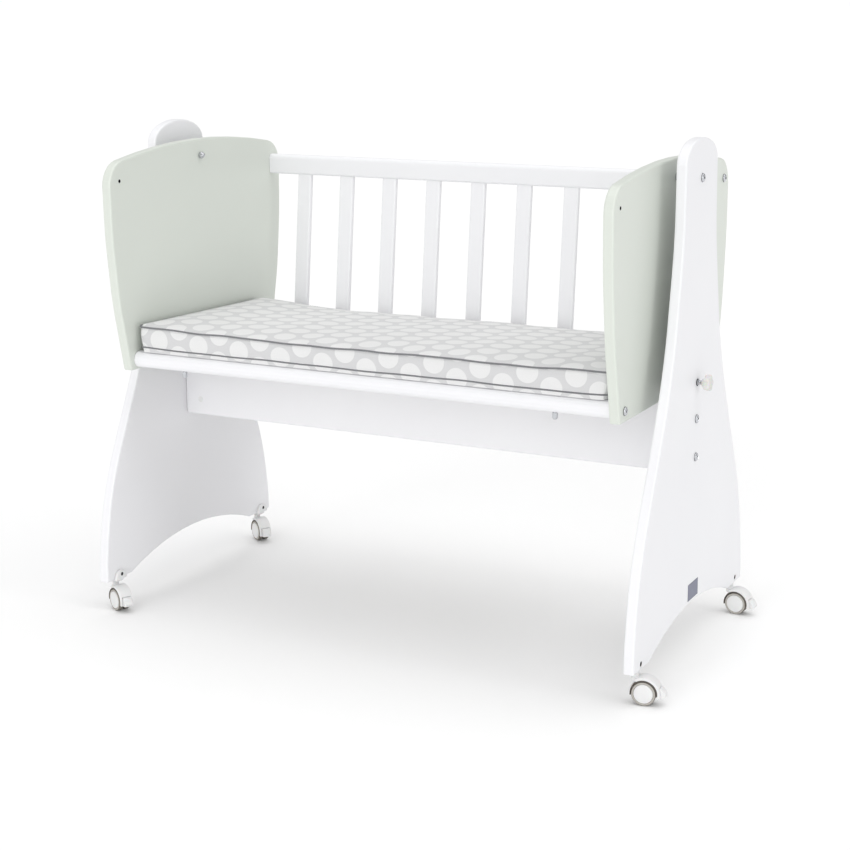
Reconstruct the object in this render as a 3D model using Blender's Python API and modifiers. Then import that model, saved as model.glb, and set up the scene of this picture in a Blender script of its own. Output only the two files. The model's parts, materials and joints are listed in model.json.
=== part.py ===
"""Baby cradle that swings between two arched stand ends on braked twin-wheel castors.

Metres, +Z up. X runs along the cradle, the open side faces -Y and the origin lies on the floor
under the middle of the overall box.
"""

import math

import bmesh
import bpy
from mathutils import Matrix, Vector

# Shared clearances and finish
GAP = 0.0003
OVERRUN = 0.005
WELD_DISTANCE = 0.00001
EDGE_ROUND = 0.003
EDGE_STEPS = 2
EDGE_ANGLE = math.radians(35)
FLAT_ANGLE = math.radians(0.5)
ROUND_SIDES = 12

# Inner length of the cradle and the boards around it
CRADLE_LENGTH = 0.910
BOARD_THICKNESS = 0.018
PANEL_THICKNESS = 0.018
SWING_SPACE = 0.0265

# Stand ends: outline from the foot up to the domed top
FOOT_LEVEL = 0.0565
STAND_CROWN = 0.0642
FOOT_HALF_WIDTH = 0.2705
DOME_RISE = 0.0385
FOOT_LENGTH = 0.0725
ARCH_RISE = 0.038
STAND_SIDE_SHARES = (
    (1.000, 0.000),
    (0.998, 0.040),
    (0.976, 0.103),
    (0.935, 0.179),
    (0.865, 0.256),
    (0.765, 0.333),
    (0.658, 0.410),
    (0.556, 0.487),
    (0.4695, 0.564),
    (0.403, 0.641),
    (0.359, 0.718),
    (0.318, 0.795),
    (0.290, 0.872),
    (0.2815, 1.000),
)
STAND_SIDE_STEPS = 2
DOME_STEPS = 14
ARCH_STEPS = 12

# Stretcher board between the stand ends
STRETCHER_HEIGHT = 0.120
STRETCHER_THICKNESS = 0.018
STRETCHER_BOTTOM = 0.2628
STRETCHER_BOLT_LEVELS = (0.2910, 0.3560)

# Pivot of the swing, below the top of the end panels and the crown of the stand ends
PIVOT_DROP = 0.0302
PIVOT_BOLT_RADIUS = 0.004
SPACER_RADIUS = 0.007
NUT_HALF_FLATS = 0.0065
NUT_THICKNESS = 0.0065
NUT_DOME_RADIUS = 0.0048
NUT_DOME_HEIGHT = 0.005

# Bolts: low domed heads and plain shanks
HEAD_RADIUS = 0.007
HEAD_HEIGHT = 0.0035
FRAME_BOLT_RADIUS = 0.003
FRAME_BOLT_GRIP = 0.038

# End panels of the cradle
PANEL_BOTTOM = 0.391
PANEL_HEIGHT = 0.3935
PANEL_HALF_WIDTH = 0.271
PANEL_CORNER_RADIUS = 0.045
PANEL_TOP_RADIUS = 1.365
PANEL_SIDE_SHARES = (
    (0.854, 0.000),
    (0.910, 0.188),
    (0.9465, 0.3125),
    (0.974, 0.4727),
    (0.9945, 0.633),
    (1.000, 0.836),
)
PANEL_SIDE_STEPS = 3
PANEL_CORNER_STEPS = 6
PANEL_TOP_STEPS = 8
OPEN_HOLE_RADIUS = 0.0028

# Rails of the cradle; drops are below the top of the end panels, the rise is above their bottom
TOP_RAIL_INSET = 0.027
TOP_RAIL_WIDTH = 0.018
TOP_RAIL_HEIGHT = 0.038
TOP_RAIL_DROP = 0.047
TOP_RAIL_ROUND = 0.0078
TOP_RAIL_FOOT_ROUND = 0.004
TOP_BOLT_DROP = 0.0555
BOTTOM_RAIL_INSET = 0.059
BOTTOM_RAIL_WIDTH = 0.024
BOTTOM_RAIL_HEIGHT = 0.028
BOTTOM_RAIL_RISE = 0.0045
BOTTOM_RAIL_NOSE = 0.013
BOTTOM_RAIL_BACK_ROUND = 0.003
RAIL_ROUND_STEPS = 4

# Base board, held in grooves of the bottom rails
BASE_THICKNESS = 0.006
GROOVE_DEPTH = 0.006

# Slats of the back side
SLAT_COUNT = 9
SLAT_WIDTH = 0.030
SLAT_THICKNESS = 0.010
SLAT_ROUND = 0.003
SLAT_ROUND_STEPS = 2
TENON_LENGTH = 0.008

# Bolts left in the front bottom rail by the side that was taken off
SIDE_BOLT_INSET = 0.100
SIDE_BOLT_GRIP = 0.018
SIDE_NUT_RADIUS = 0.0046
SIDE_NUT_LENGTH = 0.0105

# Mattress, laid over the front rail and down onto the base board
MATTRESS_END_SPACE = 0.006
MATTRESS_OVERHANG = 0.007
MATTRESS_BACK_SPACE = 0.024
MATTRESS_THICKNESS = 0.047
MATTRESS_CROWN = 0.006
MATTRESS_REST_INSET = 0.013
PIPING_INSET = 0.0085
SIDE_DRAW = 0.0035
EDGE_DRAW = 0.006
CORNER_CELL = 0.014
CUSHION_CELLS = (12, 6)

# Lock: a knob on a threaded bolt in a flanged insert of the right stand end
LOCK_LEVEL = 0.4178
LOCK_BOLT_RADIUS = 0.004
LOCK_TIP_SPACE = 0.0055
INSERT_RADIUS = 0.0055
INSERT_FLANGE_RADIUS = 0.0062
INSERT_FLANGE = 0.003
KNOB_STANDOFF = 0.0085
KNOB_HUB_RADIUS = 0.007
KNOB_HUB_LENGTH = 0.004
KNOB_RADIUS = 0.0127
KNOB_LOBE = 0.0017
KNOB_LOBES = 5
KNOB_THICKNESS = 0.0115
KNOB_ROUND = 0.003
KNOB_SIDES = 40
KNOB_GRIP = 0.012

# Castors: trail and angles as they stand, seen from above
CASTOR_INSET = 0.0335
CASTOR_TRAIL = 0.015
CASTOR_ANGLES = {
    "front_right": math.radians(8.8),
    "back_right": math.radians(-4.5),
    "front_left": math.radians(-25.6),
    "back_left": math.radians(-33.3),
}
WHEEL_RADIUS = 0.020
WHEEL_WIDTH = 0.010
WHEEL_SIDES = 20
TREAD_ROUND = 0.0012
HUB_RADIUS = 0.0157
HUB_STEP = 0.0008
AXLE_RADIUS = 0.002
AXLE_DEPTH = 0.006
WEB_THICKNESS = 0.004
WHEEL_SIDE_GAP = 0.0005

# Hood over both wheels, low housing behind it and the swivel boss
HOOD_RADIUS = 0.027
HOOD_WELL_RADIUS = 0.0213
HOOD_HALF_WIDTH = 0.012
HOOD_START = math.radians(-8)
HOOD_END = math.radians(125)
HOOD_STEPS = 14
CHEEK_STEPS = 5
HOUSING_RADIUS = 0.0233
HOUSING_END = math.radians(190)
HOUSING_STEPS = 6
HUB_BOSS_RADIUS = 0.006
HUB_BOSS_LEAN = math.radians(60)
HUB_BOSS_STEPS = 6
BOSS_RADIUS = 0.007
BOSS_TOP = 0.0497
BOSS_DEPTH = 0.018

# Bracket on the foot: fin on the inner face, arm and neck under the board, bush through it
STEM_RADIUS = 0.003
STEM_LENGTH = 0.012
NECK_RADIUS = 0.005
BRACKET_BASE = 0.003
FIN_THICKNESS = 0.006
FIN_HALF_WIDTH = 0.0155
FIN_HEIGHT = 0.0165
FIN_ROUND_STEPS = 8
BUSH_LEVEL = 0.0095
BUSH_RADIUS = 0.0055
BUSH_RECESS_RADIUS = 0.0042
BUSH_RECESS_DEPTH = 0.005
FIN_RECESS_DEPTH = 0.002

# Brake pedal between the cheeks at the back of each hood; its tail is in shares of its reach
PEDAL_REACH = 0.0377
PEDAL_TAIL_SHARES = (
    (0.705, 0.247),
    (0.756, 0.263),
    (0.835, 0.215),
    (0.920, 0.110),
    (0.985, 0.005),
    (1.000, -0.040),
    (0.990, -0.085),
    (0.945, -0.180),
    (0.886, -0.276),
    (0.860, -0.290),
    (0.820, -0.270),
)
PEDAL_TAIL_STEPS = 2
PEDAL_PIVOT_ANGLE = math.radians(12)
PEDAL_END_ANGLE = math.radians(-20)
PEDAL_WELL_RADIUS = 0.0228
PEDAL_HEEL_RADIUS = 0.0266
PEDAL_STEPS = 5
PEDAL_PIN_RADIUS = 0.0012
PEDAL_PIN_SEAT = 0.0015
PEDAL_HALF_WIDTH = 0.008
PEDAL_SLOT_START = math.radians(-24)
PEDAL_SLOT_END = math.radians(21)

# Places that follow from the sizes above
INNER_FACE = CRADLE_LENGTH / 2
ARCH_HALF_WIDTH = FOOT_HALF_WIDTH - FOOT_LENGTH
CASTOR_OFFSET = FOOT_HALF_WIDTH - CASTOR_INSET
PANEL_TOP = PANEL_BOTTOM + PANEL_HEIGHT
PIVOT_LEVEL = PANEL_TOP - PIVOT_DROP
STAND_HEIGHT = PIVOT_LEVEL + STAND_CROWN
TOP_RAIL_BOTTOM = PANEL_TOP - TOP_RAIL_DROP - TOP_RAIL_HEIGHT
TOP_BOLT_LEVEL = PANEL_TOP - TOP_BOLT_DROP
BOTTOM_RAIL_BOTTOM = PANEL_BOTTOM + BOTTOM_RAIL_RISE
SIDE_BOLT_OFFSET = INNER_FACE - SIDE_BOLT_INSET
TOP_RAIL_CENTRE = PANEL_HALF_WIDTH - TOP_RAIL_INSET
BOTTOM_RAIL_CENTRE = PANEL_HALF_WIDTH - BOTTOM_RAIL_INSET
SLAT_PITCH = (CRADLE_LENGTH - SLAT_COUNT * SLAT_WIDTH) / (SLAT_COUNT + 1) + SLAT_WIDTH
MATTRESS_LENGTH = CRADLE_LENGTH - 2 * MATTRESS_END_SPACE
MATTRESS_DEPTH = 2 * BOTTOM_RAIL_CENTRE - MATTRESS_BACK_SPACE
MATTRESS_FRONT = BOTTOM_RAIL_CENTRE + MATTRESS_OVERHANG
PANEL_FACE = INNER_FACE + PANEL_THICKNESS
STAND_INNER = PANEL_FACE + SWING_SPACE
STAND_MIDDLE = STAND_INNER + BOARD_THICKNESS / 2
STAND_OUTER = STAND_INNER + BOARD_THICKNESS
BOTTOM_RAIL_MIDDLE = BOTTOM_RAIL_BOTTOM + BOTTOM_RAIL_HEIGHT / 2
BOTTOM_RAIL_TOP = BOTTOM_RAIL_BOTTOM + BOTTOM_RAIL_HEIGHT
BASE_TOP = BOTTOM_RAIL_MIDDLE + BASE_THICKNESS / 2
REACH_RIGHT = STAND_MIDDLE + CASTOR_TRAIL + PEDAL_REACH
REACH_LEFT = STAND_OUTER + GAP + HEAD_HEIGHT
FRAME_SHIFT = (REACH_LEFT - REACH_RIGHT) / 2

# Turns of a piece modelled along Z, so that it runs along X or along Y
ALONG_X = (math.pi / 2, 0, math.pi / 2)
ALONG_MINUS_X = (math.pi / 2, 0, -math.pi / 2)
ALONG_Y = (-math.pi / 2, 0, 0)

PARTS = "baby_cradle"
CUTTERS = "cutters"


def clear_scene():
    """Remove the objects that the file starts with."""
    for item in list(bpy.data.objects):
        bpy.data.objects.remove(item, do_unlink=True)
    for name in (PARTS, CUTTERS):
        bpy.context.scene.collection.children.link(bpy.data.collections.new(name))


def make_material(name, colour, roughness, metallic=0.0):
    """A Principled material with one colour."""
    material = bpy.data.materials.new(name)
    material.use_nodes = True
    shader = material.node_tree.nodes["Principled BSDF"]
    shader.inputs["Base Color"].default_value = (*colour, 1.0)
    shader.inputs["Roughness"].default_value = roughness
    shader.inputs["Metallic"].default_value = metallic
    material.diffuse_color = (*colour, 1.0)
    return material


def make_group(name, location, angle=0.0, parent=None):
    """An empty that carries the pieces of one assembly."""
    group = bpy.data.objects.new(name, None)
    bpy.data.collections[PARTS].objects.link(group)
    group.location = location
    group.rotation_euler = (0, 0, angle)
    group.parent = parent
    return group


def add_piece(name, mesh, material, group, location=(0, 0, 0), turn=(0, 0, 0)):
    """A visible piece of the cradle, placed in its group."""
    piece = bpy.data.objects.new(name, mesh)
    bpy.data.collections[PARTS].objects.link(piece)
    if not mesh.materials:
        mesh.materials.append(material)
    piece.parent = group
    piece.location = location
    piece.rotation_euler = turn
    return piece


def add_cutter(name, mesh, group, location=(0, 0, 0), turn=(0, 0, 0)):
    """A helper solid that a Boolean reads and that is never rendered."""
    cutter = bpy.data.objects.new(name, mesh)
    bpy.data.collections[CUTTERS].objects.link(cutter)
    cutter.hide_render = True
    cutter.display_type = "WIRE"
    cutter.parent = group
    cutter.location = location
    cutter.rotation_euler = turn
    return cutter


def apply_boolean(piece, cutter, operation):
    """Cut or join with the exact solver."""
    modifier = piece.modifiers.new(cutter.name, "BOOLEAN")
    modifier.operation = operation
    modifier.solver = "EXACT"
    modifier.object = cutter


def round_edges(piece, width=EDGE_ROUND, steps=EDGE_STEPS):
    """Round the sharp edges of a piece."""
    modifier = piece.modifiers.new("rounded_edges", "BEVEL")
    modifier.width = width
    modifier.segments = steps
    modifier.limit_method = "ANGLE"
    modifier.angle_limit = EDGE_ANGLE


def finish_mesh(name, shape):
    """Turn a bmesh into a mesh with round faces shaded smooth."""
    bmesh.ops.recalc_face_normals(shape, faces=shape.faces)
    mesh = bpy.data.meshes.new(name)
    shape.to_mesh(mesh)
    shape.free()
    mesh.shade_smooth()
    mesh.set_sharp_from_angle(angle=EDGE_ANGLE)
    return mesh


def evaluated_shape(helper):
    """The solid that a helper object makes, as a welded bmesh; the helper is removed."""
    graph = bpy.context.evaluated_depsgraph_get()
    solid = bpy.data.meshes.new_from_object(helper.evaluated_get(graph))
    shape = bmesh.new()
    shape.from_mesh(solid)
    bpy.data.objects.remove(helper, do_unlink=True)
    bpy.data.meshes.remove(solid)
    bmesh.ops.remove_doubles(shape, verts=shape.verts, dist=WELD_DISTANCE)
    return shape


def outline_mesh(name, outline, thickness):
    """A flat closed outline in XY, thickened along Z about the XY plane."""
    curve = bpy.data.curves.new(name, "CURVE")
    curve.dimensions = "2D"
    curve.fill_mode = "BOTH"
    curve.extrude = thickness / 2
    spline = curve.splines.new("POLY")
    spline.points.add(len(outline) - 1)
    for point, (across, up) in zip(spline.points, outline):
        point.co = (across, up, 0, 1)
    spline.use_cyclic_u = True
    helper = bpy.data.objects.new(name, curve)
    bpy.data.collections[CUTTERS].objects.link(helper)
    shape = evaluated_shape(helper)
    bpy.data.curves.remove(curve)
    bmesh.ops.dissolve_limit(shape, angle_limit=FLAT_ANGLE, verts=shape.verts, edges=shape.edges)
    return finish_mesh(name, shape)


def turned_mesh(name, profile, sides=ROUND_SIDES):
    """Radius and height pairs, down the outer side from top to bottom, turned round Z."""
    line = bpy.data.meshes.new(name)
    corners = [(radius, 0, height) for radius, height in profile]
    line.from_pydata(corners, [(i, i + 1) for i in range(len(corners) - 1)], [])
    helper = bpy.data.objects.new(name, line)
    bpy.data.collections[CUTTERS].objects.link(helper)
    turning = helper.modifiers.new("turned", "SCREW")
    turning.steps = sides
    turning.render_steps = sides
    turning.use_merge_vertices = True
    turning.merge_threshold = WELD_DISTANCE
    shape = evaluated_shape(helper)
    bpy.data.meshes.remove(line)
    return finish_mesh(name, shape)


def box_mesh(name, size):
    """A box about its centre."""
    shape = bmesh.new()
    bmesh.ops.create_cube(shape, size=1)
    bmesh.ops.scale(shape, vec=size, verts=shape.verts)
    return finish_mesh(name, shape)


def holes_mesh(name, holes):
    """Separate cylinders as one cutter: each is its centre, radius, length and turn."""
    shape = bmesh.new()
    for centre, radius, length, turn in holes:
        place = Matrix.Translation(centre) @ euler_matrix(turn)
        bmesh.ops.create_cone(
            shape,
            cap_ends=True,
            segments=ROUND_SIDES,
            radius1=radius,
            radius2=radius,
            depth=length,
            matrix=place,
        )
    return finish_mesh(name, shape)


def euler_matrix(turn):
    """The turn of an XYZ Euler triple."""
    about_x, about_y, about_z = (Matrix.Rotation(a, 4, axis) for a, axis in zip(turn, "XYZ"))
    return about_z @ about_y @ about_x


def arc_points(centre, radius, start, end, steps):
    """Points on a round arc, both ends included."""
    points = []
    for step in range(steps + 1):
        angle = start + (end - start) * step / steps
        across = centre[0] + radius * math.cos(angle)
        up = centre[1] + radius * math.sin(angle)
        points.append((across, up))
    return points


def smooth_line(knots, steps):
    """Points on a Catmull-Rom curve through the knots, both ends included."""
    points = []
    last = len(knots) - 1
    for index in range(last):
        before, start = knots[max(index - 1, 0)], knots[index]
        end, after = knots[index + 1], knots[min(index + 2, last)]
        for step in range(steps):
            share = step / steps
            points.append(tuple(catmull_rom(p, share) for p in zip(before, start, end, after)))
    points.append(knots[-1])
    return points


def catmull_rom(values, share):
    """One coordinate of a Catmull-Rom span."""
    before, start, end, after = values
    slope_in, slope_out = (end - before) / 2, (after - start) / 2
    rise = end - start
    curve = (3 * rise - 2 * slope_in - slope_out) * share**2
    return start + slope_in * share + curve + (slope_in + slope_out - 2 * rise) * share**3


def mirrored(points):
    """The same line on the other side, walked backwards."""
    return [(-across, up) for across, up in reversed(points)]


def rounded_section(width, height, radii, steps):
    """A rectangle about its centre with its own radius at each corner, from bottom right round."""
    outline = []
    signs = ((1, -1), (1, 1), (-1, 1), (-1, -1))
    for index, (radius, (side, level)) in enumerate(zip(radii, signs)):
        centre = (side * (width / 2 - radius), level * (height / 2 - radius))
        start = (index - 1) * math.pi / 2
        outline += arc_points(centre, radius, start, start + math.pi / 2, steps)
    return outline


def bolt_mesh(name, radius, length, head_radius=HEAD_RADIUS, head_height=HEAD_HEIGHT):
    """A domed head above Z = 0 and a shank below it."""
    shoulder = head_radius * 2 / 3
    profile = [
        (0, head_height),
        (shoulder, head_height * 5 / 6),
        (head_radius, head_height / 3),
        (head_radius, 0),
        (radius, 0),
        (radius, -length),
        (0, -length),
    ]
    return turned_mesh(name, profile)


def stand_outline():
    """Foot, curved side, domed top and the arch between the feet; Z = 0 at the feet."""
    shoulder = STAND_HEIGHT - DOME_RISE
    knots = [(across * FOOT_HALF_WIDTH, up * shoulder) for across, up in STAND_SIDE_SHARES]
    side = smooth_line(knots, STAND_SIDE_STEPS)
    dome_width = knots[-1][0]
    dome = []
    for step in range(1, DOME_STEPS):
        angle = math.pi * step / DOME_STEPS
        dome.append((dome_width * math.cos(angle), shoulder + DOME_RISE * math.sin(angle)))
    arch_radius = (ARCH_HALF_WIDTH**2 + ARCH_RISE**2) / (2 * ARCH_RISE)
    half_angle = math.asin(ARCH_HALF_WIDTH / arch_radius)
    centre = (0, ARCH_RISE - arch_radius)
    start, end = math.pi / 2 + half_angle, math.pi / 2 - half_angle
    arch = arc_points(centre, arch_radius, start, end, ARCH_STEPS)
    return side + dome + mirrored(side) + arch


def panel_outline():
    """Flat bottom, flared sides, round corners and a slightly arched top; Y = 0 at the bottom."""
    half = PANEL_HALF_WIDTH
    knots = [(across * half, up * PANEL_HEIGHT) for across, up in PANEL_SIDE_SHARES]
    corner_across = half - PANEL_CORNER_RADIUS
    top_centre = PANEL_HEIGHT - PANEL_TOP_RADIUS
    reach = PANEL_TOP_RADIUS - PANEL_CORNER_RADIUS
    corner_up = top_centre + math.sqrt(reach**2 - corner_across**2)
    knots[-1] = (half, corner_up)
    side = smooth_line(knots, PANEL_SIDE_STEPS)
    lean = math.asin(corner_across / reach)
    corner = arc_points(
        (corner_across, corner_up),
        PANEL_CORNER_RADIUS,
        0,
        math.pi / 2 - lean,
        PANEL_CORNER_STEPS,
    )
    top = arc_points(
        (0, top_centre),
        PANEL_TOP_RADIUS,
        math.pi / 2 - lean,
        math.pi / 2 + lean,
        PANEL_TOP_STEPS,
    )
    edge = side + corner[1:]
    return edge + top[1:-1] + mirrored(edge)


def build_stand(group, materials):
    """Two arched ends joined by the stretcher board and its four bolts."""
    white = materials["white_board"]
    outline = stand_outline()
    castor_holes = [-CASTOR_OFFSET, CASTOR_OFFSET]
    through = BOARD_THICKNESS + 2 * OVERRUN
    for side, sign in (("left", -1), ("right", 1)):
        board = add_piece(
            f"stand_end_{side}",
            outline_mesh(f"stand_end_{side}", outline, BOARD_THICKNESS),
            white,
            group,
            (sign * STAND_MIDDLE, 0, FOOT_LEVEL),
            ALONG_X,
        )
        round_edges(board)
        bores = [(0, PIVOT_LEVEL, PIVOT_BOLT_RADIUS)]
        bores += [(0, level, FRAME_BOLT_RADIUS) for level in STRETCHER_BOLT_LEVELS]
        bores += [(across, BUSH_LEVEL, BUSH_RADIUS) for across in castor_holes]
        if sign > 0:
            bores.append((0, LOCK_LEVEL, INSERT_RADIUS))
        holes = [((y, z, 0), radius + GAP, through, (0, 0, 0)) for y, z, radius in bores]
        cutter = add_cutter(
            f"stand_holes_{side}",
            holes_mesh(f"stand_holes_{side}", holes),
            group,
            board.location,
            ALONG_X,
        )
        apply_boolean(board, cutter, "DIFFERENCE")

    length = 2 * (STAND_INNER - GAP)
    middle = STRETCHER_BOTTOM + STRETCHER_HEIGHT / 2
    stretcher = add_piece(
        "stretcher_board",
        box_mesh("stretcher_board", (length, STRETCHER_THICKNESS, STRETCHER_HEIGHT)),
        white,
        group,
        (0, 0, FOOT_LEVEL + middle),
    )
    round_edges(stretcher)
    holes = []
    for sign in (-1, 1):
        for level in STRETCHER_BOLT_LEVELS:
            centre = (sign * STAND_INNER, 0, level - middle)
            holes.append((centre, FRAME_BOLT_RADIUS + GAP, 2 * (FRAME_BOLT_GRIP + GAP), ALONG_X))
    cutter = add_cutter(
        "stretcher_holes",
        holes_mesh("stretcher_holes", holes),
        group,
        stretcher.location,
    )
    apply_boolean(stretcher, cutter, "DIFFERENCE")

    bolt = bolt_mesh("stretcher_bolt", FRAME_BOLT_RADIUS, BOARD_THICKNESS + GAP + FRAME_BOLT_GRIP)
    for side, sign, turn in (("left", -1, ALONG_MINUS_X), ("right", 1, ALONG_X)):
        for place, level in zip(("lower", "upper"), STRETCHER_BOLT_LEVELS):
            add_piece(
                f"stretcher_bolt_{side}_{place}",
                bolt,
                materials["bright_steel"],
                group,
                (sign * (STAND_OUTER + GAP), 0, FOOT_LEVEL + level),
                turn,
            )


def build_pivots(group, materials):
    """Bolt, spacer sleeve and cap nut on each side of the swing axis."""
    steel = materials["bright_steel"]
    grip = STAND_OUTER + GAP - INNER_FACE
    bolt_length = grip + NUT_THICKNESS
    bolt = bolt_mesh("pivot_bolt", PIVOT_BOLT_RADIUS, bolt_length)
    bore = PIVOT_BOLT_RADIUS + GAP
    spacer_half = SWING_SPACE / 2 - GAP
    spacer_profile = [
        (bore, spacer_half),
        (SPACER_RADIUS, spacer_half),
        (SPACER_RADIUS, -spacer_half),
        (bore, -spacer_half),
        (bore, spacer_half),
    ]
    spacer = turned_mesh("pivot_spacer", spacer_profile)
    level = FOOT_LEVEL + PIVOT_LEVEL
    for side, sign, turn in (("left", -1, ALONG_MINUS_X), ("right", 1, ALONG_X)):
        place = (sign * (STAND_OUTER + GAP), 0, level)
        add_piece(f"pivot_bolt_{side}", bolt, steel, group, place, turn)
        place = (sign * (PANEL_FACE + SWING_SPACE / 2), 0, level)
        add_piece(f"pivot_spacer_{side}", spacer, steel, group, place, turn)
        build_cap_nut(f"pivot_nut_{side}", steel, group, sign * (INNER_FACE - GAP), level, turn)


def build_cap_nut(name, steel, group, along, level, turn):
    """A hexagon nut with a round cap, its face at the given place and its cap inwards."""
    shape = bmesh.new()
    bmesh.ops.create_cone(
        shape,
        cap_ends=True,
        segments=6,
        radius1=NUT_HALF_FLATS / math.cos(math.pi / 6),
        radius2=NUT_HALF_FLATS / math.cos(math.pi / 6),
        depth=NUT_THICKNESS,
        matrix=Matrix.Translation((0, 0, -NUT_THICKNESS / 2)),
    )
    nut = add_piece(name, finish_mesh(name, shape), steel, group, (along, 0, level), turn)
    foot = -NUT_THICKNESS
    top = foot - NUT_DOME_HEIGHT
    dome_profile = [
        (0, foot + NUT_THICKNESS / 2),
        (NUT_DOME_RADIUS, foot + NUT_THICKNESS / 2),
        (NUT_DOME_RADIUS, foot - NUT_DOME_HEIGHT / 3),
        (NUT_DOME_RADIUS * 3 / 4, foot - NUT_DOME_HEIGHT * 4 / 5),
        (0, top),
    ]
    dome = add_cutter(f"{name}_cap", turned_mesh(f"{name}_cap", dome_profile), group, nut.location, turn)
    apply_boolean(nut, dome, "UNION")
    depth = NUT_THICKNESS + GAP
    hole = [((0, 0, (OVERRUN - depth) / 2), PIVOT_BOLT_RADIUS + GAP, depth + OVERRUN, (0, 0, 0))]
    bore = add_cutter(f"{name}_bore", holes_mesh(f"{name}_bore", hole), group, nut.location, turn)
    apply_boolean(nut, bore, "DIFFERENCE")


def build_end_panels(group, materials):
    """Flared end panels with their pivot, rail and spare holes."""
    outline = panel_outline()
    through = PANEL_THICKNESS + 2 * OVERRUN
    for side, sign in (("left", -1), ("right", 1)):
        panel = add_piece(
            f"end_panel_{side}",
            outline_mesh(f"end_panel_{side}", outline, PANEL_THICKNESS),
            materials["green_board"],
            group,
            (sign * (INNER_FACE + PANEL_THICKNESS / 2), 0, PANEL_BOTTOM - PIVOT_LEVEL),
            ALONG_X,
        )
        round_edges(panel)
        bores = [
            (0, PIVOT_LEVEL, PIVOT_BOLT_RADIUS + GAP),
            (TOP_RAIL_CENTRE, TOP_BOLT_LEVEL, FRAME_BOLT_RADIUS + GAP),
            (-TOP_RAIL_CENTRE, TOP_BOLT_LEVEL, OPEN_HOLE_RADIUS),
            (BOTTOM_RAIL_CENTRE, BOTTOM_RAIL_MIDDLE, FRAME_BOLT_RADIUS + GAP),
            (-BOTTOM_RAIL_CENTRE, BOTTOM_RAIL_MIDDLE, FRAME_BOLT_RADIUS + GAP),
        ]
        if sign > 0:
            bores.append((0, LOCK_LEVEL, LOCK_BOLT_RADIUS + GAP))
        holes = [((y, z - PANEL_BOTTOM, 0), radius, through, (0, 0, 0)) for y, z, radius in bores]
        cutter = add_cutter(
            f"panel_holes_{side}",
            holes_mesh(f"panel_holes_{side}", holes),
            group,
            panel.location,
            ALONG_X,
        )
        apply_boolean(panel, cutter, "DIFFERENCE")


def slat_run():
    """Ends and lean of the line that a slat follows from the bottom rail to the top rail."""
    rise = TOP_RAIL_BOTTOM + TOP_RAIL_HEIGHT / 2 - BOTTOM_RAIL_MIDDLE
    lean = math.atan2(TOP_RAIL_CENTRE - BOTTOM_RAIL_CENTRE, rise)
    low = BOTTOM_RAIL_TOP - TENON_LENGTH
    high = TOP_RAIL_BOTTOM + TENON_LENGTH
    middle = (low + high) / 2
    across = BOTTOM_RAIL_CENTRE + (middle - BOTTOM_RAIL_MIDDLE) * math.tan(lean)
    return Vector((0, across, middle - PIVOT_LEVEL)), lean, (high - low) / math.cos(lean)


def build_slats(group, materials):
    """Upright slats of the back side, and the cutter for their mortises."""
    middle, lean, length = slat_run()
    radii = [SLAT_ROUND] * 4
    section = rounded_section(SLAT_WIDTH, SLAT_THICKNESS, radii, SLAT_ROUND_STEPS)
    slat = outline_mesh("slat", section, length)
    grown = [radius + GAP for radius in radii]
    wide, thick = SLAT_WIDTH + 2 * GAP, SLAT_THICKNESS + 2 * GAP
    mortise = outline_mesh(
        "mortise",
        rounded_section(wide, thick, grown, SLAT_ROUND_STEPS),
        length + 2 * GAP,
    )
    cutters = bmesh.new()
    for index in range(SLAT_COUNT):
        along = (index - (SLAT_COUNT - 1) / 2) * SLAT_PITCH
        place = middle + Vector((along, 0, 0))
        turn = (-lean, 0, 0)
        add_piece(f"slat_{index + 1}", slat, materials["white_board"], group, place, turn)
        start = len(cutters.verts)
        cutters.from_mesh(mortise)
        cutters.verts.ensure_lookup_table()
        matrix = Matrix.Translation(place) @ Matrix.Rotation(-lean, 4, "X")
        bmesh.ops.transform(cutters, matrix=matrix, verts=cutters.verts[start:])
    bpy.data.meshes.remove(mortise)
    return add_cutter("slat_mortises", finish_mesh("slat_mortises", cutters), group)


def bottom_rail_outline():
    """Round nose towards -Y, and a groove for the base board in the other side."""
    radii = [BOTTOM_RAIL_BACK_ROUND] * 2 + [BOTTOM_RAIL_NOSE] * 2
    section = rounded_section(BOTTOM_RAIL_WIDTH, BOTTOM_RAIL_HEIGHT, radii, RAIL_ROUND_STEPS)
    face, floor = BOTTOM_RAIL_WIDTH / 2, BOTTOM_RAIL_WIDTH / 2 - GROOVE_DEPTH
    half = BASE_THICKNESS / 2 + GAP
    groove = [(face, -half), (floor, -half), (floor, half), (face, half)]
    corner = RAIL_ROUND_STEPS + 1
    return section[:corner] + groove + section[corner:]


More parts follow.
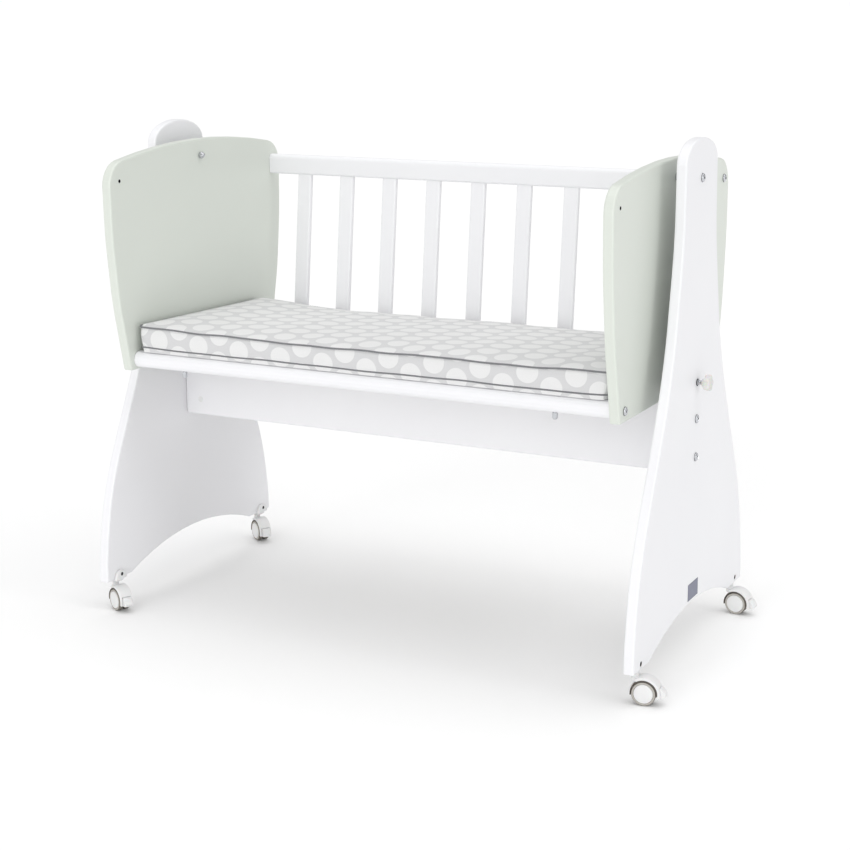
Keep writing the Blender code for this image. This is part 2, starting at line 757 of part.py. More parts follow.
def build_rails(group, materials, mortises):
    """Top rail, both bottom rails, the base board between them and their bolts."""
    white = materials["white_board"]
    length = CRADLE_LENGTH - 2 * GAP
    bore = FRAME_BOLT_RADIUS + GAP
    grip = 2 * (FRAME_BOLT_GRIP + GAP)

    radii = [TOP_RAIL_FOOT_ROUND, TOP_RAIL_ROUND, TOP_RAIL_ROUND, TOP_RAIL_FOOT_ROUND]
    section = rounded_section(TOP_RAIL_WIDTH, TOP_RAIL_HEIGHT, radii, RAIL_ROUND_STEPS)
    middle = TOP_RAIL_BOTTOM + TOP_RAIL_HEIGHT / 2
    top_rail = add_piece(
        "back_top_rail",
        outline_mesh("back_top_rail", section, length),
        white,
        group,
        (0, TOP_RAIL_CENTRE, middle - PIVOT_LEVEL),
        ALONG_X,
    )
    holes = [
        ((0, TOP_BOLT_LEVEL - middle, sign * INNER_FACE), bore, grip, (0, 0, 0))
        for sign in (-1, 1)
    ]
    ends = add_cutter(
        "top_rail_holes",
        holes_mesh("top_rail_holes", holes),
        group,
        top_rail.location,
        ALONG_X,
    )
    apply_boolean(top_rail, ends, "DIFFERENCE")
    apply_boolean(top_rail, mortises, "DIFFERENCE")

    outline = bottom_rail_outline()
    end_holes = [((0, 0, sign * INNER_FACE), bore, grip, (0, 0, 0)) for sign in (-1, 1)]
    level = BOTTOM_RAIL_MIDDLE - PIVOT_LEVEL
    turns = {"front": ALONG_X, "back": (math.pi / 2, 0, -math.pi / 2)}
    for side, sign in (("front", -1), ("back", 1)):
        rail = add_piece(
            f"{side}_bottom_rail",
            outline_mesh(f"{side}_bottom_rail", outline, length),
            white,
            group,
            (0, sign * BOTTOM_RAIL_CENTRE, level),
            turns[side],
        )
        holes = list(end_holes)
        if side == "front":
            holes += side_bolt_holes()
        cutter = add_cutter(
            f"{side}_rail_holes",
            holes_mesh(f"{side}_rail_holes", holes),
            group,
            rail.location,
            turns[side],
        )
        apply_boolean(rail, cutter, "DIFFERENCE")
        if side == "back":
            apply_boolean(rail, mortises, "DIFFERENCE")

    base_width = 2 * (BOTTOM_RAIL_CENTRE - BOTTOM_RAIL_WIDTH / 2 + GROOVE_DEPTH - GAP)
    add_piece(
        "base_board",
        box_mesh("base_board", (length, base_width, BASE_THICKNESS)),
        materials["base_board"],
        group,
        (0, 0, level),
    )
    build_rail_bolts(group, materials["bright_steel"])
    build_side_bolts(group, materials["bright_steel"])


def build_rail_bolts(group, steel):
    """Bolts through the end panels into the ends of the rails."""
    bolt = bolt_mesh("rail_bolt", FRAME_BOLT_RADIUS, PANEL_THICKNESS + GAP + FRAME_BOLT_GRIP)
    places = {
        "top_back": (TOP_RAIL_CENTRE, TOP_BOLT_LEVEL),
        "bottom_front": (-BOTTOM_RAIL_CENTRE, BOTTOM_RAIL_MIDDLE),
        "bottom_back": (BOTTOM_RAIL_CENTRE, BOTTOM_RAIL_MIDDLE),
    }
    for side, sign, turn in (("left", -1, ALONG_MINUS_X), ("right", 1, ALONG_X)):
        for place, (across, level) in places.items():
            add_piece(
                f"rail_bolt_{side}_{place}",
                bolt,
                steel,
                group,
                (sign * (PANEL_FACE + GAP), across, level - PIVOT_LEVEL),
                turn,
            )


def side_bolt_holes():
    """Blind bores from below, in the rail's own frame: Y is up, Z is along."""
    foot = -BOTTOM_RAIL_HEIGHT / 2
    bore = FRAME_BOLT_RADIUS + GAP
    depth = SIDE_BOLT_GRIP + GAP
    upright = (math.pi / 2, 0, 0)
    return [((0, foot, sign * SIDE_BOLT_OFFSET), bore, 2 * depth, upright) for sign in (-1, 1)]


def build_side_bolts(group, steel):
    """Studs with round nuts under the front rail, where the removed side was fastened."""
    nut_top = -BOTTOM_RAIL_HEIGHT / 2 - GAP
    nut_foot = nut_top - SIDE_NUT_LENGTH
    stud_top = SIDE_BOLT_GRIP - BOTTOM_RAIL_HEIGHT / 2
    profile = [
        (0, stud_top),
        (FRAME_BOLT_RADIUS, stud_top),
        (FRAME_BOLT_RADIUS, nut_top),
        (SIDE_NUT_RADIUS, nut_top),
        (SIDE_NUT_RADIUS, nut_foot + SIDE_NUT_LENGTH / 6),
        (SIDE_NUT_RADIUS * 3 / 4, nut_foot),
        (0, nut_foot),
    ]
    bolt = turned_mesh("side_bolt", profile)
    level = BOTTOM_RAIL_MIDDLE - PIVOT_LEVEL
    for side, sign in (("left", -1), ("right", 1)):
        place = (sign * SIDE_BOLT_OFFSET, -BOTTOM_RAIL_CENTRE, level)
        add_piece(f"side_bolt_{side}", bolt, steel, group, place)


def build_mattress(group, materials):
    """A crowned pad with drawn-in sides between two piped edges."""
    rest = -BOTTOM_RAIL_CENTRE
    back = MATTRESS_DEPTH - MATTRESS_FRONT
    drop = BOTTOM_RAIL_TOP - BASE_TOP
    tilt = math.atan2(drop, back - MATTRESS_REST_INSET - rest)
    columns, rows = CUSHION_CELLS
    rings = (
        (EDGE_DRAW, 0.0),
        (SIDE_DRAW / 2, PIPING_INSET / 2),
        (0.0, PIPING_INSET),
        (SIDE_DRAW, MATTRESS_THICKNESS / 2),
        (0.0, MATTRESS_THICKNESS - PIPING_INSET / 2),
        (EDGE_DRAW, MATTRESS_THICKNESS),
    )
    shape = bmesh.new()
    walls = []
    for inset, height in rings:
        half_length = MATTRESS_LENGTH / 2 - inset
        half_depth = MATTRESS_DEPTH / 2 - inset
        edge = rectangle_points(half_length, half_depth, columns, rows)
        walls.append([shape.verts.new((x, y, height)) for x, y in edge])
    for low, high in zip(walls, walls[1:]):
        for index in range(len(low)):
            following = (index + 1) % len(low)
            shape.faces.new((low[index], low[following], high[following], high[index]))
    fill_cushion_face(shape, walls[0], columns, rows, 0.0)
    fill_cushion_face(shape, walls[-1], columns, rows, MATTRESS_CROWN)
    mesh = finish_mesh("mattress", shape)
    middle = (back - MATTRESS_FRONT) / 2
    support = BOTTOM_RAIL_TOP + GAP - (middle - rest) * math.tan(tilt)
    mattress = add_piece(
        "mattress",
        mesh,
        materials["mattress_cloth"],
        group,
        (0, middle, support - PIVOT_LEVEL),
        (-tilt, 0, 0),
    )
    softness = mattress.modifiers.new("soft_form", "SUBSURF")
    softness.levels = 1
    softness.render_levels = 1


def grid_line(half, cells):
    """Places of a grid's lines along one side, with narrow cells at both ends."""
    inner = half - CORNER_CELL
    between = [inner * (2 * index / (cells - 2) - 1) for index in range(cells - 1)]
    return [-half, *between, half]


def rectangle_points(half_length, half_depth, columns, rows):
    """The border of a grid, walked once round from the front left corner."""
    along = grid_line(half_length, columns)
    deep = grid_line(half_depth, rows)
    border = [(x, -half_depth) for x in along[:-1]]
    border += [(half_length, y) for y in deep[:-1]]
    border += [(x, half_depth) for x in reversed(along[1:])]
    return border + [(-half_length, y) for y in reversed(deep[1:])]


def fill_cushion_face(shape, border, columns, rows, crown):
    """Close a border with a grid whose middle rises by the crown."""
    first = border[0].co
    half_length, half_depth, level = -first.x, -first.y, first.z
    along = grid_line(half_length, columns)
    deep = grid_line(half_depth, rows)
    grid = {}
    for index, vertex in enumerate(border):
        grid[border_cell(index, columns, rows)] = vertex
    for row in range(1, rows):
        for column in range(1, columns):
            x, y = along[column], deep[row]
            swell = crown * (1 - (x / half_length) ** 4) * (1 - (y / half_depth) ** 2)
            grid[column, row] = shape.verts.new((x, y, level + swell))
    for row in range(rows):
        for column in range(columns):
            corners = [(column, row), (column + 1, row), (column + 1, row + 1), (column, row + 1)]
            shape.faces.new([grid[corner] for corner in corners])


def border_cell(index, columns, rows):
    """Grid place of a border point counted from the front left corner."""
    if index < columns:
        return index, 0
    index -= columns
    if index < rows:
        return columns, index
    index -= rows
    if index < columns:
        return columns - index, rows
    return 0, rows - (index - columns)


def build_lock(group, materials):
    """Flanged insert, threaded bolt and lobed knob on the right stand end."""
    level = FOOT_LEVEL + LOCK_LEVEL
    bore = LOCK_BOLT_RADIUS + GAP
    insert_profile = [
        (bore, INSERT_FLANGE),
        (INSERT_FLANGE_RADIUS, INSERT_FLANGE),
        (INSERT_FLANGE_RADIUS, GAP),
        (INSERT_RADIUS, GAP),
        (INSERT_RADIUS, -BOARD_THICKNESS),
        (bore, -BOARD_THICKNESS),
        (bore, INSERT_FLANGE),
    ]
    steel = materials["bright_steel"]
    insert = turned_mesh("lock_insert", insert_profile)
    add_piece("lock_insert", insert, steel, group, (STAND_OUTER, 0, level), ALONG_X)

    knob_face = STAND_OUTER + KNOB_STANDOFF
    tip = PANEL_FACE + LOCK_TIP_SPACE
    bolt_end = knob_face + KNOB_GRIP
    length = bolt_end - tip
    nose = LOCK_BOLT_RADIUS / 3
    bolt_profile = [
        (0, length),
        (LOCK_BOLT_RADIUS, length),
        (LOCK_BOLT_RADIUS, nose),
        (LOCK_BOLT_RADIUS - nose, 0),
        (0, 0),
    ]
    bolt = turned_mesh("lock_bolt", bolt_profile)
    add_piece("lock_bolt", bolt, steel, group, (tip, 0, level), ALONG_X)

    outline = []
    for step in range(KNOB_SIDES):
        angle = math.tau * step / KNOB_SIDES
        radius = KNOB_RADIUS + KNOB_LOBE * math.cos(KNOB_LOBES * angle)
        outline.append((radius * math.cos(angle), radius * math.sin(angle)))
    knob = add_piece(
        "lock_knob",
        outline_mesh("lock_knob", outline, KNOB_THICKNESS),
        materials["clear_plastic"],
        group,
        (knob_face + KNOB_HUB_LENGTH + KNOB_THICKNESS / 2, 0, level),
        ALONG_X,
    )
    round_edges(knob, KNOB_ROUND)
    hub_length = KNOB_HUB_LENGTH + KNOB_ROUND
    hub_centre = (0, 0, (hub_length - KNOB_THICKNESS) / 2 - KNOB_HUB_LENGTH)
    hub = [(hub_centre, KNOB_HUB_RADIUS, hub_length, (0, 0, 0))]
    hub_piece = add_cutter("knob_hub", holes_mesh("knob_hub", hub), group, knob.location, ALONG_X)
    apply_boolean(knob, hub_piece, "UNION")
    socket = [((0, 0, 0), bore, 2 * (KNOB_GRIP + GAP), (0, 0, 0))]
    place = (knob_face, 0, level)
    socket_cutter = add_cutter("knob_socket", holes_mesh("knob_socket", socket), group, place, ALONG_X)
    apply_boolean(knob, socket_cutter, "DIFFERENCE")


def wheel_profile():
    """Hub disc, tyre and a blind axle bore; the outer face is up."""
    half = WHEEL_WIDTH / 2
    bore = AXLE_RADIUS + GAP
    tread = WHEEL_RADIUS - TREAD_ROUND
    return [
        (0, half),
        (HUB_RADIUS - HUB_STEP, half),
        (HUB_RADIUS, half - HUB_STEP),
        (tread, half - HUB_STEP),
        (WHEEL_RADIUS, half - HUB_STEP - TREAD_ROUND),
        (WHEEL_RADIUS, TREAD_ROUND - half),
        (tread, -half),
        (bore, -half),
        (bore, AXLE_DEPTH + GAP - half),
        (0, AXLE_DEPTH + GAP - half),
    ]


def hood_outline():
    """Side view of the hood about the axle: round cheek, outer arc, low housing and axle boss."""
    cheek = (HOOD_RADIUS - HOOD_WELL_RADIUS) / 2
    middle = HOOD_RADIUS - cheek
    centre = (middle * math.cos(HOOD_START), middle * math.sin(HOOD_START))
    nose = arc_points(centre, cheek, HOOD_START - math.pi, HOOD_START, CHEEK_STEPS)
    outer = arc_points((0, 0), HOOD_RADIUS, HOOD_START, HOOD_END, HOOD_STEPS)
    housing = arc_points((0, 0), HOUSING_RADIUS, HOOD_END, HOUSING_END, HOUSING_STEPS)
    boss = arc_points(
        (0, 0),
        HUB_BOSS_RADIUS,
        HOUSING_END + HUB_BOSS_LEAN,
        HOOD_START + math.tau - HUB_BOSS_LEAN,
        HUB_BOSS_STEPS,
    )
    return nose + outer[1:] + housing + boss


def pedal_pivot():
    """Middle of the pedal's hinge pin, seen from the axle."""
    radius = (PEDAL_WELL_RADIUS + HOOD_RADIUS) / 2
    return radius * math.cos(PEDAL_PIVOT_ANGLE), radius * math.sin(PEDAL_PIVOT_ANGLE)


def pedal_slot_outline():
    """Ring piece that clears the hood between its cheeks down to just above the wheels."""
    inner = WHEEL_RADIUS + GAP
    outer = HOOD_RADIUS + OVERRUN
    start, end = PEDAL_SLOT_START, PEDAL_SLOT_END
    low = arc_points((0, 0), inner, start, end, PEDAL_STEPS)
    return low + arc_points((0, 0), outer, end, start, PEDAL_STEPS)


def pedal_outline():
    """Side view of the pedal about the axle: a curved shoe, a round eye and a humped tail."""
    eye = (HOOD_RADIUS - PEDAL_WELL_RADIUS) / 2
    shoe = arc_points((0, 0), PEDAL_WELL_RADIUS, PEDAL_END_ANGLE, PEDAL_PIVOT_ANGLE, PEDAL_STEPS)
    inward = PEDAL_PIVOT_ANGLE + math.pi
    head = arc_points(pedal_pivot(), eye, inward, inward - math.pi / 2, PEDAL_STEPS)
    knots = [(across * PEDAL_REACH, up * PEDAL_REACH) for across, up in PEDAL_TAIL_SHARES]
    tail = smooth_line(knots, PEDAL_TAIL_STEPS)
    heel_across = PEDAL_HEEL_RADIUS * math.cos(PEDAL_END_ANGLE)
    heel_up = PEDAL_HEEL_RADIUS * math.sin(PEDAL_END_ANGLE)
    return shoe + head[1:] + tail + [(heel_across, heel_up)]


def shifted(points, offset):
    """Outline points moved so that the offset is the new origin."""
    return [(across - offset[0], up - offset[1]) for across, up in points]


def build_castor(name, corner, angle, materials, stand):
    """One braked twin-wheel castor under a foot: corner gives its side along X and along Y."""
    side_x, side_y = corner
    place = (side_x * STAND_MIDDLE, side_y * CASTOR_OFFSET, 0)
    bracket_group = make_group(f"{name}_bracket_place", place, parent=stand)
    build_bracket(name, side_x, bracket_group, materials)
    swivel = make_group(f"{name}_swivel", place, angle, stand)
    build_hood(name, swivel, materials)

    wheel = turned_mesh(f"{name}_wheel", wheel_profile(), WHEEL_SIDES)
    offset = WEB_THICKNESS / 2 + WHEEL_SIDE_GAP + WHEEL_WIDTH / 2
    for label, sign in (("front", -1), ("back", 1)):
        add_piece(
            f"{name}_wheel_{label}",
            wheel,
            materials["wheel"],
            swivel,
            (CASTOR_TRAIL, sign * offset, WHEEL_RADIUS),
            (-sign * math.pi / 2, 0, 0),
        )
    build_pedal(name, swivel, materials)


def build_bracket(name, side_x, group, materials):
    """Fin on the board's inner face, arm and neck under the foot, stem, and bush through it."""
    fin_inner = BOARD_THICKNESS / 2 + GAP
    fin_middle = fin_inner + FIN_THICKNESS / 2
    fin_outer = fin_inner + FIN_THICKNESS
    base_top = FOOT_LEVEL - GAP
    base_bottom = base_top - BRACKET_BASE
    tongue = -GAP - BRACKET_BASE
    outline = [(-FIN_HALF_WIDTH, GAP), (-NECK_RADIUS, 0), (-NECK_RADIUS, tongue)]
    outline += [(NECK_RADIUS, tongue), (NECK_RADIUS, 0), (FIN_HALF_WIDTH, GAP)]
    centre = (0, FIN_HEIGHT - FIN_HALF_WIDTH)
    outline += arc_points(centre, FIN_HALF_WIDTH, 0, math.pi, FIN_ROUND_STEPS)
    bracket = add_piece(
        f"{name}_bracket",
        outline_mesh(f"{name}_bracket", outline, FIN_THICKNESS),
        materials["white_plastic"],
        group,
        (-side_x * fin_middle, 0, FOOT_LEVEL),
        ALONG_X,
    )
    arm_end = fin_outer - GAP
    arm_length = arm_end + BOARD_THICKNESS / 2 - EDGE_ROUND
    arm = add_cutter(
        f"{name}_bracket_arm",
        box_mesh(f"{name}_bracket_arm", (arm_length, 2 * (NECK_RADIUS - GAP), BRACKET_BASE - GAP)),
        group,
        (-side_x * (arm_end - arm_length / 2), 0, (base_top + base_bottom) / 2),
    )
    apply_boolean(bracket, arm, "UNION")
    neck_top = base_bottom + BRACKET_BASE / 2
    neck_bottom = BOSS_TOP + GAP
    neck_profile = [
        (0, neck_top),
        (NECK_RADIUS, neck_top),
        (NECK_RADIUS, neck_bottom),
        (STEM_RADIUS, neck_bottom),
        (STEM_RADIUS, neck_bottom - STEM_LENGTH),
        (0, neck_bottom - STEM_LENGTH),
    ]
    neck = add_cutter(f"{name}_neck", turned_mesh(f"{name}_neck", neck_profile), group)
    apply_boolean(bracket, neck, "UNION")
    bush_end = BOARD_THICKNESS / 2 - GAP
    recess_floor = bush_end - BUSH_RECESS_DEPTH
    bush_profile = [
        (0, recess_floor),
        (BUSH_RECESS_RADIUS, recess_floor),
        (BUSH_RECESS_RADIUS, bush_end),
        (BUSH_RADIUS, bush_end),
        (BUSH_RADIUS, -fin_middle),
        (0, -fin_middle),
    ]
    bush = add_cutter(
        f"{name}_bush",
        turned_mesh(f"{name}_bush", bush_profile),
        group,
        (0, 0, FOOT_LEVEL + BUSH_LEVEL),
        ALONG_X if side_x > 0 else ALONG_MINUS_X,
    )
    apply_boolean(bracket, bush, "UNION")
    recess = [((0, 0, 0), BUSH_RECESS_RADIUS, 2 * FIN_RECESS_DEPTH, (0, 0, 0))]
    fin_recess = add_cutter(
        f"{name}_fin_recess",
        holes_mesh(f"{name}_fin_recess", recess),
        group,
        (-side_x * fin_outer, 0, FOOT_LEVEL + BUSH_LEVEL),
        ALONG_X,
    )
    apply_boolean(bracket, fin_recess, "DIFFERENCE")


def build_hood(name, group, materials):
    """Hood over both wheels, web between them, axle, swivel boss and the pedal's pin."""
    axle_place = (CASTOR_TRAIL, 0, WHEEL_RADIUS)
    upright = (math.pi / 2, 0, 0)
    hood = add_piece(
        f"{name}_hood",
        outline_mesh(f"{name}_hood", hood_outline(), 2 * HOOD_HALF_WIDTH),
        materials["white_plastic"],
        group,
        axle_place,
        upright,
    )
    boss_profile = [(0, BOSS_TOP), (BOSS_RADIUS, BOSS_TOP)]
    boss_profile += [(BOSS_RADIUS, BOSS_TOP - BOSS_DEPTH), (0, BOSS_TOP - BOSS_DEPTH)]
    boss = add_cutter(f"{name}_boss", turned_mesh(f"{name}_boss", boss_profile), group)
    apply_boolean(hood, boss, "UNION")

    well_depth = HOOD_HALF_WIDTH + OVERRUN - WEB_THICKNESS / 2
    wells = []
    for sign in (-1, 1):
        middle = sign * (WEB_THICKNESS / 2 + well_depth / 2)
        wells.append(((0, 0, middle), HOOD_WELL_RADIUS, well_depth, (0, 0, 0)))
    well = add_cutter(f"{name}_wells", holes_mesh(f"{name}_wells", wells), group, axle_place, upright)
    apply_boolean(hood, well, "DIFFERENCE")

    slot_half = PEDAL_HALF_WIDTH + GAP
    slot_name = f"{name}_pedal_slot"
    slot_mesh = outline_mesh(slot_name, pedal_slot_outline(), 2 * slot_half)
    slot = add_cutter(slot_name, slot_mesh, group, axle_place, upright)
    apply_boolean(hood, slot, "DIFFERENCE")

    axle_half = WEB_THICKNESS / 2 + WHEEL_SIDE_GAP + AXLE_DEPTH
    across, up = pedal_pivot()
    pins = [
        ((0, 0, 0), AXLE_RADIUS, 2 * axle_half, (0, 0, 0)),
        ((across, up, 0), PEDAL_PIN_RADIUS, 2 * (slot_half + PEDAL_PIN_SEAT), (0, 0, 0)),
    ]
    pin = add_cutter(f"{name}_pins", holes_mesh(f"{name}_pins", pins), group, axle_place, upright)
    apply_boolean(hood, pin, "UNION")

    bore_depth = STEM_LENGTH + GAP
    bore = [((0, 0, BOSS_TOP), STEM_RADIUS + GAP, 2 * bore_depth, (0, 0, 0))]
    stem_bore = add_cutter(f"{name}_stem_bore", holes_mesh(f"{name}_stem_bore", bore), group)
    apply_boolean(hood, stem_bore, "DIFFERENCE")


def build_pedal(name, group, materials):
    """Brake pedal between the hood's cheeks, turning on its pin."""
    pivot = pedal_pivot()
    upright = (math.pi / 2, 0, 0)
    place = (CASTOR_TRAIL + pivot[0], 0, WHEEL_RADIUS + pivot[1])
    outline = shifted(pedal_outline(), pivot)
    pedal = add_piece(
        f"{name}_brake_pedal",
        outline_mesh(f"{name}_brake_pedal", outline, 2 * PEDAL_HALF_WIDTH),
        materials["white_plastic"],
        group,
        place,
        upright,
    )
    eye = [((0, 0, 0), PEDAL_PIN_RADIUS + GAP, 2 * (PEDAL_HALF_WIDTH + OVERRUN), (0, 0, 0))]
    hole = add_cutter(f"{name}_pedal_eye", holes_mesh(f"{name}_pedal_eye", eye), group, place, upright)
    apply_boolean(pedal, hole, "DIFFERENCE")


def main():
    """Build the cradle at rest."""
    clear_scene()
    materials = {
        "white_board": make_material("white_board", (0.86, 0.86, 0.88), 0.45),
        "green_board": make_material("green_board", (0.63, 0.68, 0.62), 0.5),
        "base_board": make_material("base_board", (0.75, 0.70, 0.62), 0.7),
        "bright_steel": make_material("bright_steel", (0.62, 0.62, 0.64), 0.3, 1.0),
        "mattress_cloth": make_material("mattress_cloth", (0.72, 0.72, 0.72), 0.9),
        "white_plastic": make_material("white_plastic", (0.88, 0.88, 0.88), 0.35),
        "clear_plastic": make_material("clear_plastic", (0.85, 0.86, 0.84), 0.3),
        "wheel": make_material("wheel", (0.36, 0.34, 0.32), 0.6),
    }
    stand = make_group("stand", (FRAME_SHIFT, 0, 0))
    cradle = make_group("cradle_on_pivot", (0, 0, FOOT_LEVEL + PIVOT_LEVEL), parent=stand)
    build_stand(stand, materials)
    build_pivots(stand, materials)
    build_lock(stand, materials)
    build_end_panels(cradle, materials)
    mortises = build_slats(cradle, materials)
    build_rails(cradle, materials, mortises)
    build_mattress(cradle, materials)
    corners = {
        "front_right": (1, -1),
        "back_right": (1, 1),
        "front_left": (-1, -1),
        "back_left": (-1, 1),
    }
    for label, corner in corners.items():
        build_castor(f"castor_{label}", corner, CASTOR_ANGLES[label], materials, stand)


main()
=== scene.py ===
import json
import math

import bmesh
import bpy
import numpy as np
from mathutils import Matrix, Vector


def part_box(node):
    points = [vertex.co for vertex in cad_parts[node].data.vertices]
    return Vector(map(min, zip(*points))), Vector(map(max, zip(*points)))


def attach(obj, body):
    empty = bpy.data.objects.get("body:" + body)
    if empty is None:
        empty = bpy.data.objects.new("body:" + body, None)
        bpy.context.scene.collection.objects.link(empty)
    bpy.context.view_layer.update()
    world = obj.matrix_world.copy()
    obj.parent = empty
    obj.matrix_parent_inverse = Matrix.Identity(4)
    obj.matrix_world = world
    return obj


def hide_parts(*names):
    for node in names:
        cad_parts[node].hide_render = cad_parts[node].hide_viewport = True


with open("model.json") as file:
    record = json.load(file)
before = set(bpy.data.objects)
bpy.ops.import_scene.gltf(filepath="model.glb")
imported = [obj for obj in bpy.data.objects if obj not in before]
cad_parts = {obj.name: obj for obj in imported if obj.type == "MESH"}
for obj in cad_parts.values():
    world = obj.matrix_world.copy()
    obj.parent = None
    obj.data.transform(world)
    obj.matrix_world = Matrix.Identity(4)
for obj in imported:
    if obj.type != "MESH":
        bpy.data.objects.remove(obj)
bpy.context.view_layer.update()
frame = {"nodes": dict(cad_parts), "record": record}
nodes = frame["nodes"]
print("frame loaded:", len(nodes), "nodes")


# Small helpers for materials

def linearColour(code):
    # sRGB hex value to the linear colour that Blender's sockets take
    values = [int(code[i:i + 2], 16) / 255 for i in (1, 3, 5)]
    return [v / 12.92 if v <= 0.04045 else ((v + 0.055) / 1.055) ** 2.4 for v in values] + [1.0]


def addNode(tree, kind, settings=None, links=None):
    # one node with its sockets or properties set, and its inputs linked
    node = tree.nodes.new("ShaderNode" + kind)
    for key, value in (settings or {}).items():
        if isinstance(key, int) or key in node.inputs:
            node.inputs[key].default_value = value
        else:
            setattr(node, key, value)
    for key, source in (links or {}).items():
        tree.links.new(source, node.inputs[key])
    return node


def newMaterial(name, settings):
    # a Principled material and its tree, shader and object coordinates
    material = bpy.data.materials.new(name)
    material.use_nodes = True
    tree = material.node_tree
    shader = tree.nodes["Principled BSDF"]
    for key, value in settings.items():
        shader.inputs[key].default_value = value
    place = addNode(tree, "TexCoord").outputs["Object"]
    return material, tree, shader, place


def varyColour(tree, shader, place, low, high, size, detail=3.0):
    # colour that drifts between two values over patches of the given size in metres
    cloud = addNode(tree, "TexNoise", {"Scale": 1 / size, "Detail": detail}, {"Vector": place})
    mix = addNode(tree, "Mix", {"data_type": "RGBA", 6: linearColour(low), 7: linearColour(high)},
                  {0: cloud.outputs["Fac"]})
    tree.links.new(mix.outputs[2], shader.inputs["Base Color"])


def varyRoughness(tree, shader, place, low, high, size):
    # roughness that drifts between two values over patches of the given size
    cloud = addNode(tree, "TexNoise", {"Scale": 1 / size, "Detail": 2.0}, {"Vector": place})
    span = addNode(tree, "MapRange", {"To Min": low, "To Max": high}, {"Value": cloud.outputs["Fac"]})
    tree.links.new(span.outputs["Result"], shader.inputs["Roughness"])


def addRelief(tree, shader, height, depth, strength=1.0):
    # a bump as deep as the given depth in metres
    bump = addNode(tree, "Bump", {"Strength": strength, "Distance": depth}, {"Height": height})
    tree.links.new(bump.outputs["Normal"], shader.inputs["Normal"])


def addGrain(tree, shader, place, size, depth, strength=1.0):
    # fine relief: noise of the given size, as deep as the given depth, both in metres
    grain = addNode(tree, "TexNoise", {"Scale": 1 / size, "Detail": 2.0}, {"Vector": place})
    addRelief(tree, shader, grain.outputs["Fac"], depth, strength)


# Plain finishes. Each has one or two colours, the size of its colour patches and their detail, a roughness
# or a range of it with the size of its patches, and a grain: size, depth and strength. Sizes are in metres.
rubber = {"patches": (0.002, 4.0), "roughness": 0.6, "grain": (0.001, 0.00005, 1.0)}
vinyl = {"patches": (0.01, 3.0), "roughness": 0.35, "grain": (0.0012, 0.00001, 0.4)}
finishes = {
    # fibreboard sprayed with white acrylic lacquer: satin, with a fine orange peel of about 2 mm
    "whiteLacquer": {
        "name": "white lacquered fibreboard", "colours": ("#ECECEF", "#F0F0F2"), "patches": (0.25, 3.0),
        "roughness": (0.38, 0.5, 0.08), "grain": (0.0022, 0.00002, 0.6),
        "settings": {"IOR": 1.49, "Coat Weight": 0.08, "Coat Roughness": 0.25},
    },
    # the same board and spray in a pale grey-green, with a thicker clear coat: a soft sheen
    "sageLacquer": {
        "name": "sage lacquered fibreboard", "colours": ("#D6DBD3", "#DADFD7"), "patches": (0.22, 3.0),
        "roughness": (0.36, 0.46, 0.08), "grain": (0.0022, 0.00002, 0.6),
        "settings": {"IOR": 1.49, "Coat Weight": 0.35, "Coat Roughness": 0.35},
    },
    # thin hardboard, its face printed off-white: dull, and fibre flecks of about 1.5 mm show through
    "hardboard": {
        "name": "off-white faced hardboard", "colours": ("#D9D7D3", "#E2E0DC"), "patches": (0.0015, 6.0),
        "roughness": 0.6, "grain": (0.0012, 0.00008, 1.0),
    },
    # turned steel with a bright zinc plating: cool light grey whose shine clouds over in spots of 3 mm
    "zinc": {
        "name": "zinc plated steel", "colours": ("#C8CACE",),
        "roughness": (0.14, 0.3, 0.003), "grain": (0.0007, 0.00001, 0.5), "settings": {"Metallic": 1.0},
    },
    # oxide black steel for the pivot washers and the lock's flange. The same dark also stands as painted
    # shade in the screw sockets, in the rings round the bolt heads, in the open holes and in the castor
    # brackets' screw recesses, so that these read as dark marks
    "darkSteelAndShade": {
        "name": "blackened steel and painted shade", "colours": ("#2C2C2F",),
        "roughness": 0.5, "grain": (0.0006, 0.00001, 0.5), "settings": {"Metallic": 0.7},
    },
    # injection moulded nylon, eroded mould face: white, soft gloss, grain of about 0.8 mm
    "nylon": {
        "name": "moulded white nylon", "colours": ("#E2E2E2", "#E8E8E8"), "patches": (0.02, 3.0),
        "roughness": 0.38, "grain": (0.0008, 0.00003, 0.7),
        "settings": {"IOR": 1.53, "Subsurface Weight": 0.05, "Subsurface Scale": 0.002},
    },
    # natural polypropylene, moulded: milky, lets some light through
    "milkyKnob": {
        "name": "natural polypropylene", "colours": ("#DADAD7",),
        "roughness": 0.35, "grain": (0.0015, 0.00003, 0.6),
        "settings": {"IOR": 1.49, "Subsurface Weight": 0.35, "Subsurface Scale": 0.004},
    },
    # thermoplastic rubber, moulded: taupe grey and dull, with scuffs of about 2 mm
    "tread": {"name": "thermoplastic rubber tread", "colours": ("#A9A59E", "#B8B4AE"), **rubber},
    # the same rubber where it rolls, darker: painted shade of the rolling face, which turns down and away
    # from the light
    "treadShade": {"name": "rubber tread in painted shade", "colours": ("#69645D", "#78736B"), **rubber},
    # moulded nylon in taupe, the lining that shows round the wheels, made darker as painted shade of the
    # gap between hood and wheels
    "housingAndShade": {
        "name": "taupe housing and painted shade", "colours": ("#514A42", "#60584F"), **rubber, "roughness": 0.55,
    },
    # printed vinyl, left bare: a slate blue field, a darker frame, and the off-white edge of the vinyl
    "plate": {"name": "printed vinyl field", "colours": ("#6A6D82", "#72758A"), **vinyl},
    "plateFrame": {"name": "printed vinyl frame", "colours": ("#474A60", "#4E5167"), **vinyl},
    "plateRim": {"name": "vinyl edge", "colours": ("#ECECEE", "#F2F2F3"), **vinyl, "roughness": 0.5},
}


